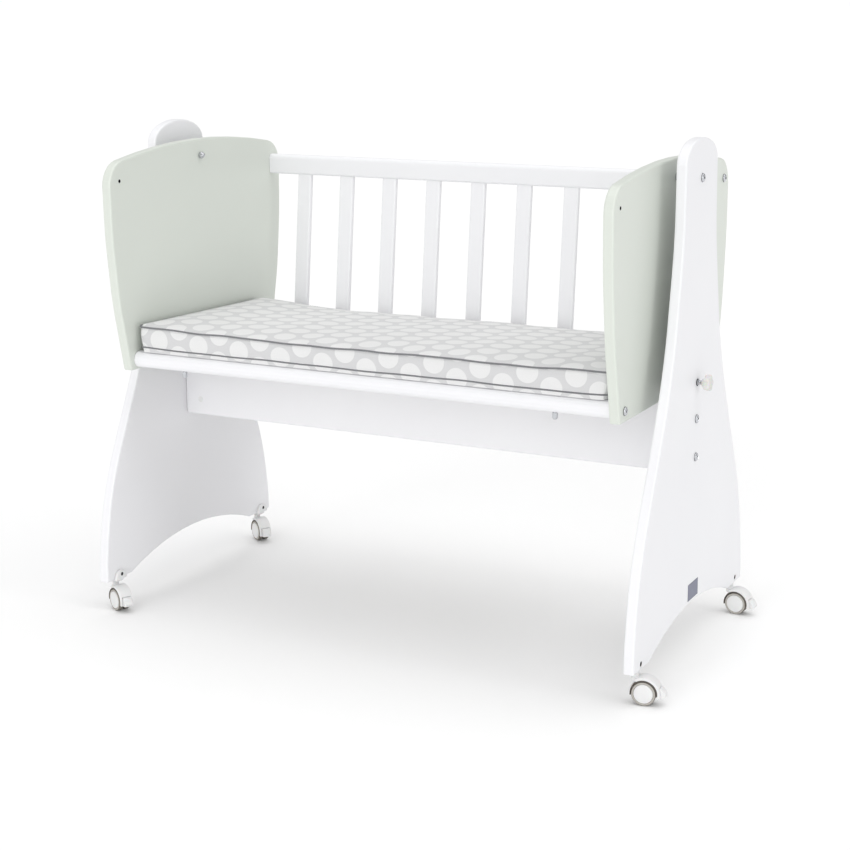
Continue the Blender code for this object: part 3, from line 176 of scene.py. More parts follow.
def makeFinish(look):
    material, tree, shader, place = newMaterial(look["name"], {"IOR": 1.5, **look.get("settings", {})})
    if "patches" in look:
        varyColour(tree, shader, place, *look["colours"], *look["patches"])
    else:
        shader.inputs["Base Color"].default_value = linearColour(look["colours"][0])
    if isinstance(look["roughness"], tuple):
        varyRoughness(tree, shader, place, *look["roughness"])
    else:
        shader.inputs["Roughness"].default_value = look["roughness"]
    addGrain(tree, shader, place, *look["grain"])
    return material


# Woven cotton with printed dots, on the piece's own UV map in metres. The dots stand in staggered rows, and
# they are moved off those rows by wanderBy, over patches that many to the metre.
# The phases put a dot where the photograph has one: top (x, y), front (x), ends and back (z). Along the
# front the print drifts down by driftBy at the places driftAt, as the cover was pulled on askew.
dotPrint = {
    "ground": "#D3D3D4", "dot": "#E6E6E6", "columns": 0.0838, "rows": 0.0485, "radius": 0.019,
    "softness": 0.0006, "wander": 9.0, "wanderBy": 0.003, "flecks": 700.0, "fleckRange": (0.9, 1.04),
    "topPhase": (-0.0902, 0.021), "frontPhase": 0.067, "endPhase": -0.0165,
    "driftAt": (-0.41, -0.24, -0.05, 0.1, 0.4), "driftBy": (0.0255, 0.0225, 0.0165, 0.013, 0.013),
    "thread": 0.0016,  # real threads lie 0.4 mm apart, drawn coarser so that they show
    "threadDepth": 0.0002,
}


def cottonMaterial():
    # plain weave cotton: matt, slightly fuzzy, printed with light dots in staggered rows
    size = dotPrint
    material, tree, shader = newMaterial("printed woven cotton", {
        "Roughness": 0.85, "IOR": 1.46, "Sheen Weight": 0.25, "Sheen Roughness": 0.5,
    })[:3]
    cloth = addNode(tree, "UVMap", {"uv_map": "clothSize"}).outputs["UV"]

    def vectorStep(operation, first, settings=None, links=None):
        # one step of the sum on the cloth's coordinates
        settings = {"operation": operation, **(settings or {})}
        return addNode(tree, "VectorMath", settings, {0: first, **(links or {})}).outputs

    wander = addNode(tree, "TexNoise", {"Scale": size["wander"], "Detail": 1.0}, {"Vector": cloth})
    by = (size["wanderBy"], size["wanderBy"], 0.0)
    shifted = vectorStep("MULTIPLY_ADD", wander.outputs["Color"], {1: by}, {2: cloth})[0]
    # distance to the nearest dot's middle: the fraction of a cell, centred, back in metres, and its length
    reaches = []
    for offset in ((0.0, 0.0, 0.0), (0.5, 0.5, 0.0)):
        inCells = vectorStep("DIVIDE", shifted, {1: (size["columns"], size["rows"], 1.0)})[0]
        moved = vectorStep("ADD", inCells, {1: offset})[0]
        part = vectorStep("FRACTION", moved)[0]
        centred = vectorStep("SUBTRACT", part, {1: (0.5, 0.5, 0.0)})[0]
        flat = vectorStep("MULTIPLY", centred, {1: (size["columns"], size["rows"], 0.0)})[0]
        reaches.append(vectorStep("LENGTH", flat)["Value"])
    nearest = addNode(tree, "Math", {"operation": "MINIMUM"}, {0: reaches[0], 1: reaches[1]})
    low, high = size["radius"] + size["softness"], size["radius"] - size["softness"]
    dot = addNode(tree, "MapRange", {"interpolation_type": "SMOOTHSTEP", "From Min": low, "From Max": high},
                  {"Value": nearest.outputs[0]})
    colours = {6: linearColour(size["ground"]), 7: linearColour(size["dot"])}
    tone = addNode(tree, "Mix", {"data_type": "RGBA", **colours}, {0: dot.outputs["Result"]})
    fibres = addNode(tree, "TexNoise", {"Scale": size["flecks"], "Detail": 3.0}, {"Vector": cloth})
    fleck = addNode(tree, "MapRange", {"To Min": size["fleckRange"][0], "To Max": size["fleckRange"][1]},
                  {"Value": fibres.outputs["Fac"]})
    shaded = addNode(tree, "Mix", {"data_type": "RGBA", "blend_type": "MULTIPLY", 0: 1.0},
                  {6: tone.outputs[2], 7: fleck.outputs["Result"]})
    tree.links.new(shaded.outputs[2], shader.inputs["Base Color"])

    threads = vectorStep("SCALE", cloth, {"Scale": 1 / size["thread"]})[0]
    bands = []
    for direction in ("X", "Y"):
        settings = {"bands_direction": direction, "Scale": 0.5, "Distortion": 0.6}
        bands.append(addNode(tree, "TexWave", settings, {"Vector": threads}).outputs["Fac"])
    weave = addNode(tree, "Math", {"operation": "MAXIMUM"}, {0: bands[0], 1: bands[1]})
    addRelief(tree, shader, weave.outputs[0], size["threadDepth"], 0.35)
    return material


def pipingMaterial():
    # dark grey bias tape over a cord: matt, with slanting twill lines about 1 mm apart
    material, tree, shader, place = newMaterial(
        "piped bias tape", {"Roughness": 0.8, "IOR": 1.46, "Sheen Weight": 0.2})
    varyColour(tree, shader, place, "#6F7073", "#808184", 0.004)
    turned = addNode(tree, "Mapping", {"Rotation": (0.0, 0.0, 0.8)}, {"Vector": place})
    twill = addNode(tree, "TexWave", {"Scale": 300.0, "Distortion": 1.0}, {"Vector": turned.outputs[0]})
    addRelief(tree, shader, twill.outputs["Fac"], 0.0002, 0.5)
    return material


materials = {key: makeFinish(look) for key, look in finishes.items()}
materials["cotton"] = cottonMaterial()
materials["piping"] = pipingMaterial()
print("materials made:", len(materials))


# Small helpers for shapes: each part is its points, its faces and its material number

def loftPart(rows, number=0, closeEnds=True):
    # rows of points, each row a closed loop, joined to quads; the end loops are filled with one face
    rows = np.asarray(rows, float)
    count, around = rows.shape[:2]
    first = np.arange(count - 1)[:, None] * around
    here = np.arange(around)[None, :]
    following = (here + 1) % around
    above = first + around
    quads = np.stack([first + here, first + following, above + following, above + here], -1)
    faces = quads.reshape(-1, 4).tolist()
    if closeEnds:
        faces.append(list(range(around))[::-1])
        faces.append(list(range((count - 1) * around, count * around)))
    return rows.reshape(-1, 3), faces, number


def shapedPart(rows, turn, number=0, closeEnds=True):
    # rows of radius and height round Z, the radius one value or one for each angle:
    # x = r(t) cos t, y = r(t) sin t, z = h
    points = [np.column_stack([r * np.cos(turn), r * np.sin(turn), np.full(len(turn), h)]) for r, h in rows]
    return loftPart(points, number, closeEnds)


def turnedPart(profile, number=0, sides=40, closed=False):
    # radius and height pairs turned round Z; a closed profile makes a ring
    turn = np.linspace(0, math.tau, sides, endpoint=False)
    rows = [*profile, profile[0]] if closed else profile
    return shapedPart(rows, turn, number, closeEnds=False)


def insetOutline(outline, depth):
    # every point moves inwards by the depth, along the mean of the two edge normals beside it
    outline = np.asarray(outline, float)
    following = np.roll(outline, -1, 0)
    edges = (outline - np.roll(outline, 1, 0), following - outline)
    normals = [np.stack([-e[:, 1], e[:, 0]], -1) / np.linalg.norm(e, axis=1, keepdims=True) for e in edges]
    mean = normals[0] + normals[1]
    mean /= np.linalg.norm(mean, axis=1, keepdims=True)
    stretch = np.clip((mean * normals[0]).sum(1, keepdims=True), 0.5, 1)
    area = 0.5 * np.sum(outline[:, 0] * following[:, 1] - outline[:, 1] * following[:, 0])
    return outline + np.sign(area) * mean * depth / stretch


def platePart(outline, half, edge, number=0, steps=3):
    # an outline in XY, thick from -half to half, its rim rounded:
    # inset = edge (1 - sin t), drop = edge (1 - cos t). Keep the outline's steps longer than the edge
    turn = np.linspace(0, math.pi / 2, steps + 1)
    insets = np.concatenate([edge * (1 - np.sin(turn)), edge * (1 - np.sin(turn[::-1]))])
    heights = np.concatenate([-half + edge * (1 - np.cos(turn)), half - edge * (1 - np.cos(turn[::-1]))])
    rows = [np.column_stack([insetOutline(outline, inset), np.full(len(outline), height)])
            for inset, height in zip(insets, heights)]
    return loftPart(rows, number)


def sectionLoop(inner, outer, low, high, edge, steps=3):
    # rounded rectangle in radius and height, walked once round
    corners = ((outer, high, 0), (inner, high, 1), (inner, low, 2), (outer, low, 3))
    loop = []
    for radius, height, quarter in corners:
        turn = np.linspace(quarter, quarter + 1, steps + 1) * math.pi / 2
        outwards = 1 if quarter in (0, 3) else -1
        upwards = 1 if quarter < 2 else -1
        centre = (radius - edge * outwards, height - edge * upwards)
        loop.append(np.column_stack([centre[0] + edge * np.cos(turn), centre[1] + edge * np.sin(turn)]))
    return np.concatenate(loop)


def arcBandPart(inner, outer, low, high, start, end, edge, number=0, steps=28):
    # a rounded section carried round the Y axis from start to end: x = r cos t, y = h, z = r sin t.
    # At each end it shrinks towards its middle in two short steps, so the end closes softly
    section = sectionLoop(inner, outer, low, high, edge)
    middle = section.mean(0)
    turns = np.linspace(start, end, steps + 1)
    near, far = 0.3 * edge / outer, edge / outer
    turns = np.concatenate([[start, start + near, start + far], turns[1:-1], [end - far, end - near, end]])
    reach = (outer - inner) / 2
    shrink = np.ones(len(turns))
    shrink[[0, -1]], shrink[[1, -2]] = 1 - edge / reach, 1 - 0.35 * edge / reach
    loops = middle + (section - middle)[None] * shrink[:, None, None]
    radius, across = loops[..., 0], loops[..., 1]
    rows = np.stack([radius * np.cos(turns)[:, None], across, radius * np.sin(turns)[:, None]], -1)
    return loftPart(rows, number)


def movedPart(part, matrix):
    points, faces, number = part
    turned = np.asarray(matrix.to_3x3()) @ points.T
    return turned.T + np.asarray(matrix.translation), faces, number


def newPiece(name, points, faces, numbers):
    # an object whose doubled points are merged and whose faces look outwards
    mesh = bpy.data.meshes.new(name)
    mesh.from_pydata(points.tolist(), [], faces)
    mesh.polygons.foreach_set("material_index", numbers)
    shape = bmesh.new()
    shape.from_mesh(mesh)
    bmesh.ops.remove_doubles(shape, verts=shape.verts, dist=0.000002)
    bmesh.ops.dissolve_degenerate(shape, edges=shape.edges, dist=0.000001)
    bmesh.ops.recalc_face_normals(shape, faces=shape.faces)
    shape.to_mesh(mesh)
    shape.free()
    piece = bpy.data.objects.new(name, mesh)
    bpy.context.scene.collection.objects.link(piece)
    return piece


def makePiece(name, parts, looks, body, replaced=(), place=None, smoothAngle=38):
    # joins parts to one mesh at its place and ties it to its body
    if place is not None:
        parts = [movedPart(part, place) for part in parts]
    points = np.concatenate([part[0] for part in parts])
    faces, numbers, start = [], [], 0
    for part in parts:
        faces += [[index + start for index in face] for face in part[1]]
        numbers += [part[2]] * len(part[1])
        start += len(part[0])
    piece = newPiece(name, points, faces, numbers)
    mesh = piece.data
    mesh.shade_smooth()
    mesh.set_sharp_from_angle(angle=math.radians(smoothAngle))
    for look in looks:
        mesh.materials.append(materials[look])
    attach(piece, body)
    if replaced:
        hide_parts(*replaced)


def alongAxis(origin, axis, up=(0, 0, 1)):
    # local Z runs along the axis, local Y stays as near to up as it can
    zAxis = Vector(axis).normalized()
    xAxis = Vector(up).cross(zAxis).normalized()
    yAxis = zAxis.cross(xAxis)
    matrix = Matrix((xAxis, yAxis, zAxis)).transposed().to_4x4()
    matrix.translation = Vector(origin)
    return matrix


def quarterTurn(axis):
    return Matrix.Rotation(math.pi / 2, 4, axis)


standUp = quarterTurn("Z") @ quarterTurn("X")  # an outline in XY then stands in YZ, its thickness along X


def nodeMiddle(name):
    low, high = (np.array(corner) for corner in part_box(name))
    return (low + high) / 2, low, high


# Camera: fitted to the photograph
view = {
    "place": (1.4267, -2.7236, 1.1039), "yaw": 0.4666, "pitch": 0.2137, "roll": -0.0036,
    "focal": 1773.87, "centre": (456.63, 376.08), "frame": 850, "sensor": 36.0, "clipEnd": 2000.0,
}


def setCamera():
    yaw, pitch, roll = view["yaw"], view["pitch"], view["roll"]
    ahead = Vector((-math.sin(yaw) * math.cos(pitch), math.cos(yaw) * math.cos(pitch), -math.sin(pitch)))
    right = Vector((math.cos(yaw), math.sin(yaw), 0))
    above = right.cross(ahead)
    side = math.cos(roll) * right + math.sin(roll) * above
    top = -math.sin(roll) * right + math.cos(roll) * above
    matrix = Matrix((side, top, -ahead)).transposed().to_4x4()
    matrix.translation = Vector(view["place"])
    lens = bpy.data.cameras.new("view")
    lens.sensor_width = view["sensor"]
    lens.lens = view["focal"] * view["sensor"] / view["frame"]
    half = (view["frame"] - 1) / 2
    lens.shift_x = -(view["centre"][0] - half) / view["frame"]
    lens.shift_y = (view["centre"][1] - half) / view["frame"]
    lens.clip_end = view["clipEnd"]
    camera = bpy.data.objects.new("view", lens)
    camera.matrix_world = matrix
    bpy.context.scene.collection.objects.link(camera)
    bpy.context.scene.camera = camera


# Light and floor of a pale studio
studio = {
    "sky": 0.52, "floor": "#FEFEFE", "floorReach": 600.0,
    # each light: share of white that it gives a face turned to it, direction from the part, spread
    "lights": {
        "overhead": (0.425, (0.1, 0.05, 1.0), 80),
        "front": (0.4, (0.1, -0.9, 0.18), 50),
        "right": (0.09, (1.0, -0.05, 0.28), 9),
    },
}


def setStudio():
    scene = bpy.context.scene
    world = bpy.data.worlds.new("studio")
    world.use_nodes = True
    sky = world.node_tree.nodes["Background"]
    sky.inputs["Strength"].default_value = studio["sky"]
    sky.inputs["Color"].default_value = (1, 1, 1, 1)
    scene.world = world
    scene.view_settings.view_transform = "Standard"
    for name, (share, direction, spread) in studio["lights"].items():
        light = bpy.data.lights.new(name, "SUN")
        light.energy, light.angle = share * math.pi, math.radians(spread)
        lamp = bpy.data.objects.new(name, light)
        lamp.matrix_world = alongAxis((0, 0, 3), direction, (0, 1, 0))
        scene.collection.objects.link(lamp)
    corners = np.array([(-1, -1, 0), (1, -1, 0), (1, 1, 0), (-1, 1, 0)]) * studio["floorReach"]
    mesh = bpy.data.meshes.new("floor")
    mesh.from_pydata(corners.tolist(), [], [(0, 1, 2, 3)])
    settings = {"Roughness": 0.9, "Base Color": linearColour(studio["floor"])}
    mesh.materials.append(newMaterial("matt white floor", settings)[0])
    floor = bpy.data.objects.new("floor", mesh)
    scene.collection.objects.link(floor)


setCamera()
setStudio()
print("camera and studio set")


# Boards, rails and slats keep their CAD shapes and get their finishes
boardLooks = {"white_board": "whiteLacquer", "green_board": "sageLacquer", "base_board": "hardboard",
              "bright_steel": "zinc", "white_plastic": "nylon", "wheel_plastic": "tread",
              "clear_plastic": "milkyKnob", "mattress_cloth": "cotton"}
slotOfNode = {row["node"]: row["material_slot"] for row in frame["record"]["subparts"]}
for name, node in nodes.items():
    look = materials[boardLooks[slotOfNode[name]]]
    for slot in node.material_slots:
        slot.material = look
print("boards dressed")


# Mattress: a foam pad in a printed cover, its top and bottom edges piped. Lengths are in metres
mattress = {
    "length": 0.901, "depth": 0.3995, "height": 0.0462, "cornerRound": 0.009,
    "crown": 0.0062, "crownReach": 0.009,  # the top rises by crown, most of it within crownReach
    "sideDraw": 0.002, "press": 0.0012,  # the seams draw the sides in, the foot presses into the rail
    "sagFront": 0.0035, "sagBack": 0.0085, "sagRamp": 0.17,
    "tuck": 0.0065, "tuckReach": 0.024,  # the foot of each front corner is drawn in
    # waves of the top: height, waves along X and Y, phase
    "ripples": ((0.0008, 11, 3, 0), (0.0004, 31, -9, 1), (0.0004, 67, 0, 1.5)),
    "tilt": 0.02894, "middle": (-0.019, 0.47471),
    "pipingLow": 0.0085, "pipingHigh": 0.0452, "pipingRadius": 0.0015, "pipingProud": 0.0006,
    "voxel": 0.006, "swell": 0.0025,
    "seamBand": 0.0035, "sideBand": 0.008, "footBand": 0.004, "frames": 20,
    "cloth": {"quality": 4, "mass": 0.15, "tension_stiffness": 25, "compression_stiffness": 15,
              "bending_stiffness": 1.2, "use_pressure": True, "uniform_pressure_force": 4.0,
              "vertex_group_mass": "pinned", "pin_stiffness": 1.0},
    # distances from the edge, and levels up the side with their share of sideDraw
    "insets": (0.0, 0.0015, 0.0035, 0.006, 0.009, 0.013, 0.018, 0.025, 0.035, 0.05, 0.08, 0.12, 0.16, 0.19),
    "sideLevels": ((0.04, 0.2), (0.11, 0.3), (0.185, 1.0), (0.3, 0.35), (0.46, 0.0), (0.62, 0.0),
                   (0.8, 0.35), (0.93, 1.0)),
}


def roundedRectangle(halfX, halfY, radius, straightSteps=(60, 28), cornerSteps=8):
    # border of a rectangle with round corners, walked once round, evenly along each side
    signs = ((1, -1), (1, 1), (-1, 1), (-1, -1))
    centres = [np.array([sx * (halfX - radius), sy * (halfY - radius)]) for sx, sy in signs]
    loop = []
    for quarter, centre in enumerate(centres):
        turn = (np.linspace(0, 1, cornerSteps + 1) + quarter - 1) * math.pi / 2
        arc = centre + radius * np.column_stack([np.cos(turn), np.sin(turn)])
        startNext = centres[(quarter + 1) % 4] + radius * np.array([np.cos(turn[-1]), np.sin(turn[-1])])
        steps = straightSteps[1] if quarter % 2 == 0 else straightSteps[0]
        share = np.linspace(0, 1, steps + 1)[1:-1, None]
        loop += [arc, arc[-1] + (startNext - arc[-1]) * share]
    return np.concatenate(loop)


def padRows(size):
    # loops from the underside's middle to the top's middle. The sides pull in by sideDraw at the pipings.
    # The top rises with the distance d from its edge: crown (1 - e^(-d / crownReach))
    halfX, halfY, height, draw = size["length"] / 2, size["depth"] / 2, size["height"], size["sideDraw"]

    def flatLoop(inset, level):
        loop = roundedRectangle(halfX - inset, halfY - inset, max(size["cornerRound"] - inset, 0.002))
        return np.column_stack([loop, np.full(len(loop), level)])

    rows = [flatLoop(inset + 0.6 * draw, -size["press"]) for inset in size["insets"][::-1]]
    rows += [flatLoop(share * draw, level * height) for level, share in size["sideLevels"]]
    for inset in size["insets"]:
        rise = size["crown"] * (1 - math.exp(-inset / size["crownReach"]))
        rows.append(flatLoop(inset + draw, height + rise))
    return rows


def settle(points):
    # The pad sags between its corners: z falls by its share of the height times a sag that grows from front
    # to back with the cube of y, times a window that is 0 at the ends and 1 beyond a ramp: 3 w² - 2 w³.
    # The top waves by the sum of a sin(kx x + ky y + phase). The foot of each front corner is drawn in by
    # tuck e^(-(dx² + dy²) / reach²) times its depth below the top.
    x, y, z = points.T
    size = mattress
    inwards = size["length"] / 2 - np.abs(x)
    fromEnd = np.clip(inwards / size["sagRamp"], 0, 1)
    window = fromEnd * fromEnd * (3 - 2 * fromEnd)
    back = np.clip(y / size["depth"] + 0.5, 0, 1)
    sag = size["sagFront"] + (size["sagBack"] - size["sagFront"]) * back ** 3
    ripple = sum(rise * np.sin(kx * x + ky * y + phase) for rise, kx, ky, phase in size["ripples"])
    share = np.clip(z / size["height"], 0, 1.3)
    away = inwards ** 2 + (y + size["depth"] / 2) ** 2
    tuck = size["tuck"] * np.exp(-away / size["tuckReach"] ** 2) * np.clip(1 - share, 0, 1)
    fall = share * (window * sag - ripple * (0.35 + 0.65 * window))
    return np.column_stack([x - np.sign(x) * tuck, y, z - fall])


padMiddle = nodeMiddle("mattress")[0]
middleOfPad = np.array([padMiddle[0], *mattress["middle"]])


def onMattress(points):
    # from the pad's own frame to the world: a lean about X, then its place in the cradle
    cosine, sine = math.cos(mattress["tilt"]), math.sin(mattress["tilt"])
    x, y, z = np.asarray(points, float).T
    return np.column_stack([x, y * cosine + z * sine, z * cosine - y * sine]) + middleOfPad


def readPoints(mesh):
    points = np.empty(len(mesh.vertices) * 3)
    mesh.vertices.foreach_get("co", points)
    return points.reshape(-1, 3)


def swellCover(piece):
    # cloth pressure puffs the cover; the seams and the foot are pinned, and a move m is capped to
    # swell tanh(m / swell)
    size = mattress
    before = readPoints(piece.data)
    outward = np.abs(before[:, :2]) - np.array([size["length"], size["depth"]]) / 2
    onSide = outward.max(1) > -size["sideBand"]
    fromSeam = np.abs(before[:, 2:] - np.array([size["pipingLow"], size["pipingHigh"]])).min(1)
    pinned = (onSide & (fromSeam < size["seamBand"])) | (before[:, 2] < size["footBand"])
    group = piece.vertex_groups.new(name="pinned")
    group.add(np.nonzero(pinned)[0].tolist(), 1.0, "REPLACE")
    puff = piece.modifiers.new("puff", "CLOTH")
    puff.settings.effector_weights.gravity = 0
    for key, value in size["cloth"].items():
        setattr(puff.settings, key, value)
    scene = bpy.context.scene
    for number in range(1, size["frames"] + 1):
        scene.frame_set(number)
    after = readPoints(piece.evaluated_get(bpy.context.evaluated_depsgraph_get()).to_mesh())
    piece.modifiers.remove(puff)
    scene.frame_set(1)
    move = after - before
    length = np.linalg.norm(move, axis=1, keepdims=True)
    move *= size["swell"] * np.tanh(length / size["swell"]) / np.maximum(length, 0.0000001)
    piece.data.vertices.foreach_set("co", (before + move).ravel())
    piece.data.update()
    print("cover swelled, most move", round(float(length.max()) * 1000, 1), "mm before the cap")


def mapCloth(mesh, local):
    # UV in metres, by the face's own direction: top and underside take (x, y), front and back (x, z),
    # the ends (y, z)
    corner = np.empty(len(mesh.loops), int)
    mesh.loops.foreach_get("vertex_index", corner)
    normals = np.empty(len(mesh.polygons) * 3)
    mesh.polygons.foreach_get("normal", normals)
    total = np.empty(len(mesh.polygons), int)
    mesh.polygons.foreach_get("loop_total", total)
    facing = np.repeat(np.abs(normals.reshape(-1, 3)), total, axis=0)
    x, y, z = local[corner].T
    flat = facing[:, 2] > 0.6
    front = ~flat & (facing[:, 1] > facing[:, 0])
    drift = np.interp(x, dotPrint["driftAt"], dotPrint["driftBy"])
    topX, topY = dotPrint["topPhase"]
    u = np.where(flat, x + topX, np.where(front, x + dotPrint["frontPhase"], y)) + dotPrint["columns"] / 2
    v = np.where(flat, y + topY, z + np.where(front, -drift, dotPrint["endPhase"])) + dotPrint["rows"] / 2
    layer = mesh.uv_layers.new(name="clothSize")
    layer.uv.foreach_set("vector", np.column_stack([u, v]).ravel())


def applyModifier(piece, kind, settings):
    # puts the modified shape in place of the piece's mesh
    modifier = piece.modifiers.new("shaping", kind)
    for key, value in settings.items():
        setattr(modifier, key, value)
    old = piece.data
    shaped = bpy.data.meshes.new_from_object(piece.evaluated_get(bpy.context.evaluated_depsgraph_get()))
    piece.modifiers.remove(modifier)
    piece.data = shaped
    bpy.data.meshes.remove(old)
    shaped.name = piece.name


def makeMattress():
    # a lofted pad, evenly remeshed, swelled by the cloth, once subdivided, settled and set in the cradle
    points, faces, number = loftPart(padRows(mattress))
    piece = newPiece("mattress_cover", points, faces, [number] * len(faces))
    applyModifier(piece, "REMESH", {"mode": "VOXEL", "voxel_size": mattress["voxel"]})
    swellCover(piece)
    applyModifier(piece, "SUBSURF", {"levels": 1, "render_levels": 1})
    smooth = piece.data
    local = readPoints(smooth)
    local[:, 2] = np.maximum(local[:, 2], 0.0)
    mapCloth(smooth, local)
    smooth.vertices.foreach_set("co", onMattress(settle(local)).ravel())
    smooth.update()
    smooth.shade_smooth()
    smooth.materials.clear()
    smooth.materials.append(materials["cotton"])
    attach(piece, "cradle")
    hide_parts("mattress")
    print("mattress cover:", len(smooth.polygons), "faces")


def tubePart(path, radius, sides=10):
    # a circle carried along a closed path: p + r (cos t side + sin t up), side at right angles to the path
    ahead = np.roll(path, -1, 0) - np.roll(path, 1, 0)
    ahead /= np.linalg.norm(ahead, axis=1, keepdims=True)
    side = np.cross(ahead, [0.0, 0.0, 1.0])
    side /= np.linalg.norm(side, axis=1, keepdims=True)
    up = np.cross(side, ahead)
    turn = np.linspace(0, math.tau, sides, endpoint=False)[None, :, None]
    rows = path[:, None] + radius * (np.cos(turn) * side[:, None] + np.sin(turn) * up[:, None])
    return loftPart(np.concatenate([rows, rows[:1]]), closeEnds=False)


def makePiping(name, height, phase):
    # a border loop whose height waves a little: 0.5 mm sin(9 a + phase) + 0.35 mm sin(23 a + 2 phase),
    # a = angle of the way round
    size = mattress
    out = size["sideDraw"] - size["pipingProud"]
    halfX, halfY = size["length"] / 2 - out, size["depth"] / 2 - out
    border = roundedRectangle(halfX, halfY, size["cornerRound"], (120, 56), 12)
    around = np.linspace(0, math.tau, len(border), endpoint=False)
    wave = 0.0005 * np.sin(9 * around + phase) + 0.00035 * np.sin(23 * around + 2 * phase)
    path = onMattress(settle(np.column_stack([border, height + wave])))
    parts = [tubePart(path, size["pipingRadius"])]
    makePiece(name, parts, ["piping"], "cradle", smoothAngle=80)


makeMattress()
makePiping("mattress_piping_low", mattress["pipingLow"], 0.4)
makePiping("mattress_piping_high", mattress["pipingHigh"], 2.1)


# Bolts with domed heads and hexagon sockets. Profiles are pairs of radius and height
bolt = {
    "headRadius": 0.0069, "headHeight": 0.0034, "socket": 0.0023, "socketDepth": 0.0022, "sides": 48,
    "cadHead": 0.0035,  # the bolt's seat is the inner face of the CAD head
    "shank": 0.003, "pivotShank": 0.004,
    # painted shade: a dark cup deep in the socket, and a dark ring just wider than the head, the painted
    # contact shadow where the head beds into the lacquer
    "shadeCup": ((0, 0.0013), (0.002346, 0.0013), (0.002346, 0.00306), (0.002446, 0.00306), (0.002446, 0.0009),
            (0, 0.0009)),
    "shadeRing": ((0.0045, 0.0003), (0.0072, 0.0003), (0.0074, 0), (0.0045, 0)),
}


def hexRadius(turn, halfFlats):
    # radius of a hexagon at an angle: r = a / cos(angle from the middle of the nearest side)
    sixth = math.pi / 3
    return halfFlats / np.cos((turn % sixth) - sixth / 2)


def boltPart(shank, length):
    # the socket's rows follow a hexagon. The head's dome runs from the socket's lip to the rim:
    # r = lip + (rim - lip) sin t, z = height (0.28 + 0.72 cos t)
    turn = np.linspace(0, math.tau, bolt["sides"], endpoint=False)
    rim, height = bolt["headRadius"], bolt["headHeight"]
    floor, lip = height - bolt["socketDepth"], bolt["socket"] * 1.35
    hexagon = hexRadius(turn, bolt["socket"])
    rows = [(0.02 * hexagon, floor - 0.0006), (hexagon, floor), (hexagon, height * 0.93),
            (hexagon * 1.12, height)]
    for angle in np.linspace(0, math.pi / 2, 7)[1:]:
        rows.append((lip + (rim - lip) * math.sin(angle), height * (0.28 + 0.72 * math.cos(angle))))
    rows += [(rim, 0.0), (shank, 0.0), (shank, -length), (0.0001, -length)]
    return shapedPart(rows, turn)


def makeBolt(node, sign, body):
    # the bolt lies along X, its head outwards
    middle, low, high = nodeMiddle(node)
    seat = high[0] - bolt["cadHead"] if sign > 0 else low[0] + bolt["cadHead"]
    shank = bolt["pivotShank"] if "pivot" in node else bolt["shank"]
    # the dark cup and ring are painted shade, in the socket and round the head
    parts = [boltPart(shank, high[0] - low[0] - bolt["cadHead"]),
             turnedPart(bolt["shadeCup"], 1), turnedPart(bolt["shadeRing"], 1, closed=True)]
    place = alongAxis((seat, middle[1], middle[2]), (sign, 0, 0))
    makePiece(f"{node}_detailed", parts, ["zinc", "darkSteelAndShade"], body, [node], place)


ends = {"left": -1, "right": 1}
for side, sign in ends.items():
    for spot in ("lower", "upper"):
        makeBolt(f"stretcher_bolt_{side}_{spot}", sign, "stand")
    for spot in ("top_back", "bottom_front", "bottom_back"):
        makeBolt(f"rail_bolt_{side}_{spot}", sign, "cradle")
    makeBolt(f"pivot_bolt_{side}", sign, "stand")


# Dark steel sleeves in the open holes in the front top corners of the panels: painted shade, so that the
# holes read deep and dark
openHole = {"y": -0.244, "z": 0.7855, "radius": 0.0026, "bore": 0.0023, "lip": 0.0031, "proud": 0.0002,
            "web": 0.001}


def makeHoleShade(side):
    # a dark web closes the middle of the hole as painted shade, and a thin dark lip lies on each face of
    # the panel as the painted shadow at the hole's rim
    middle, low, high = nodeMiddle(f"end_panel_{side}")
    face = (high[0] - low[0]) / 2
    web, bore, lip, top = openHole["web"], openHole["bore"], openHole["lip"], face + openHole["proud"]
    upper = [(0, web), (bore, web), (bore, top), (lip, top), (lip, face), (openHole["radius"], face)]
    profile = upper + [(radius, -height) for radius, height in upper[::-1]]
    place = alongAxis((middle[0], openHole["y"], openHole["z"]), (1, 0, 0))
    parts = [turnedPart(profile)]
    makePiece(f"hole_shade_sleeve_{side}", parts, ["darkSteelAndShade"], "cradle", place=place)


for side in ends:
    makeHoleShade(side)


# Pivot: cap nut inside the panel, bright spacer and dark washer between panel and stand
pivot = {
    "flats": 0.0056, "bore": 0.0045, "nut": 0.0052, "chamfer": 0.0006, "dome": 0.0043,
    "domeHeight": 0.0045, "tip": 0.00005, "sides": 48,
    "spacer": 0.0068, "spacerBore": 0.0044, "spacerEdge": 0.0004,
    "washer": 0.0069, "washerThickness": 0.0016, "gap": 0.0001,
}


def makePivotNut(side, sign):
    # a hexagon with turned ends, then a dome on a short wall: r = tip + dome cos t, z = h (1 + 3 sin t) / 4
    middle, low, high = nodeMiddle(f"pivot_nut_{side}")
    face = high[0] if sign > 0 else low[0]
    turn = np.linspace(0, math.tau, pivot["sides"], endpoint=False)
    across, height, chamfer = pivot["flats"], pivot["nut"], pivot["chamfer"]
    hexagon = hexRadius(turn, across)
    rows = [(pivot["bore"], 0.0), (across, 0.0), (hexagon, chamfer), (hexagon, height - chamfer),
            (across, height)]
    for angle in np.linspace(0, math.pi / 2, 8):
        rise = pivot["domeHeight"] * (0.25 + 0.75 * math.sin(angle))
        rows.append((pivot["tip"] + pivot["dome"] * math.cos(angle), height + rise))
    place = alongAxis((face, middle[1], middle[2]), (-sign, 0, 0))
    makePiece(f"pivot_nut_{side}_detailed", [shapedPart(rows, turn)], ["zinc"], "stand",
              [f"pivot_nut_{side}"], place)


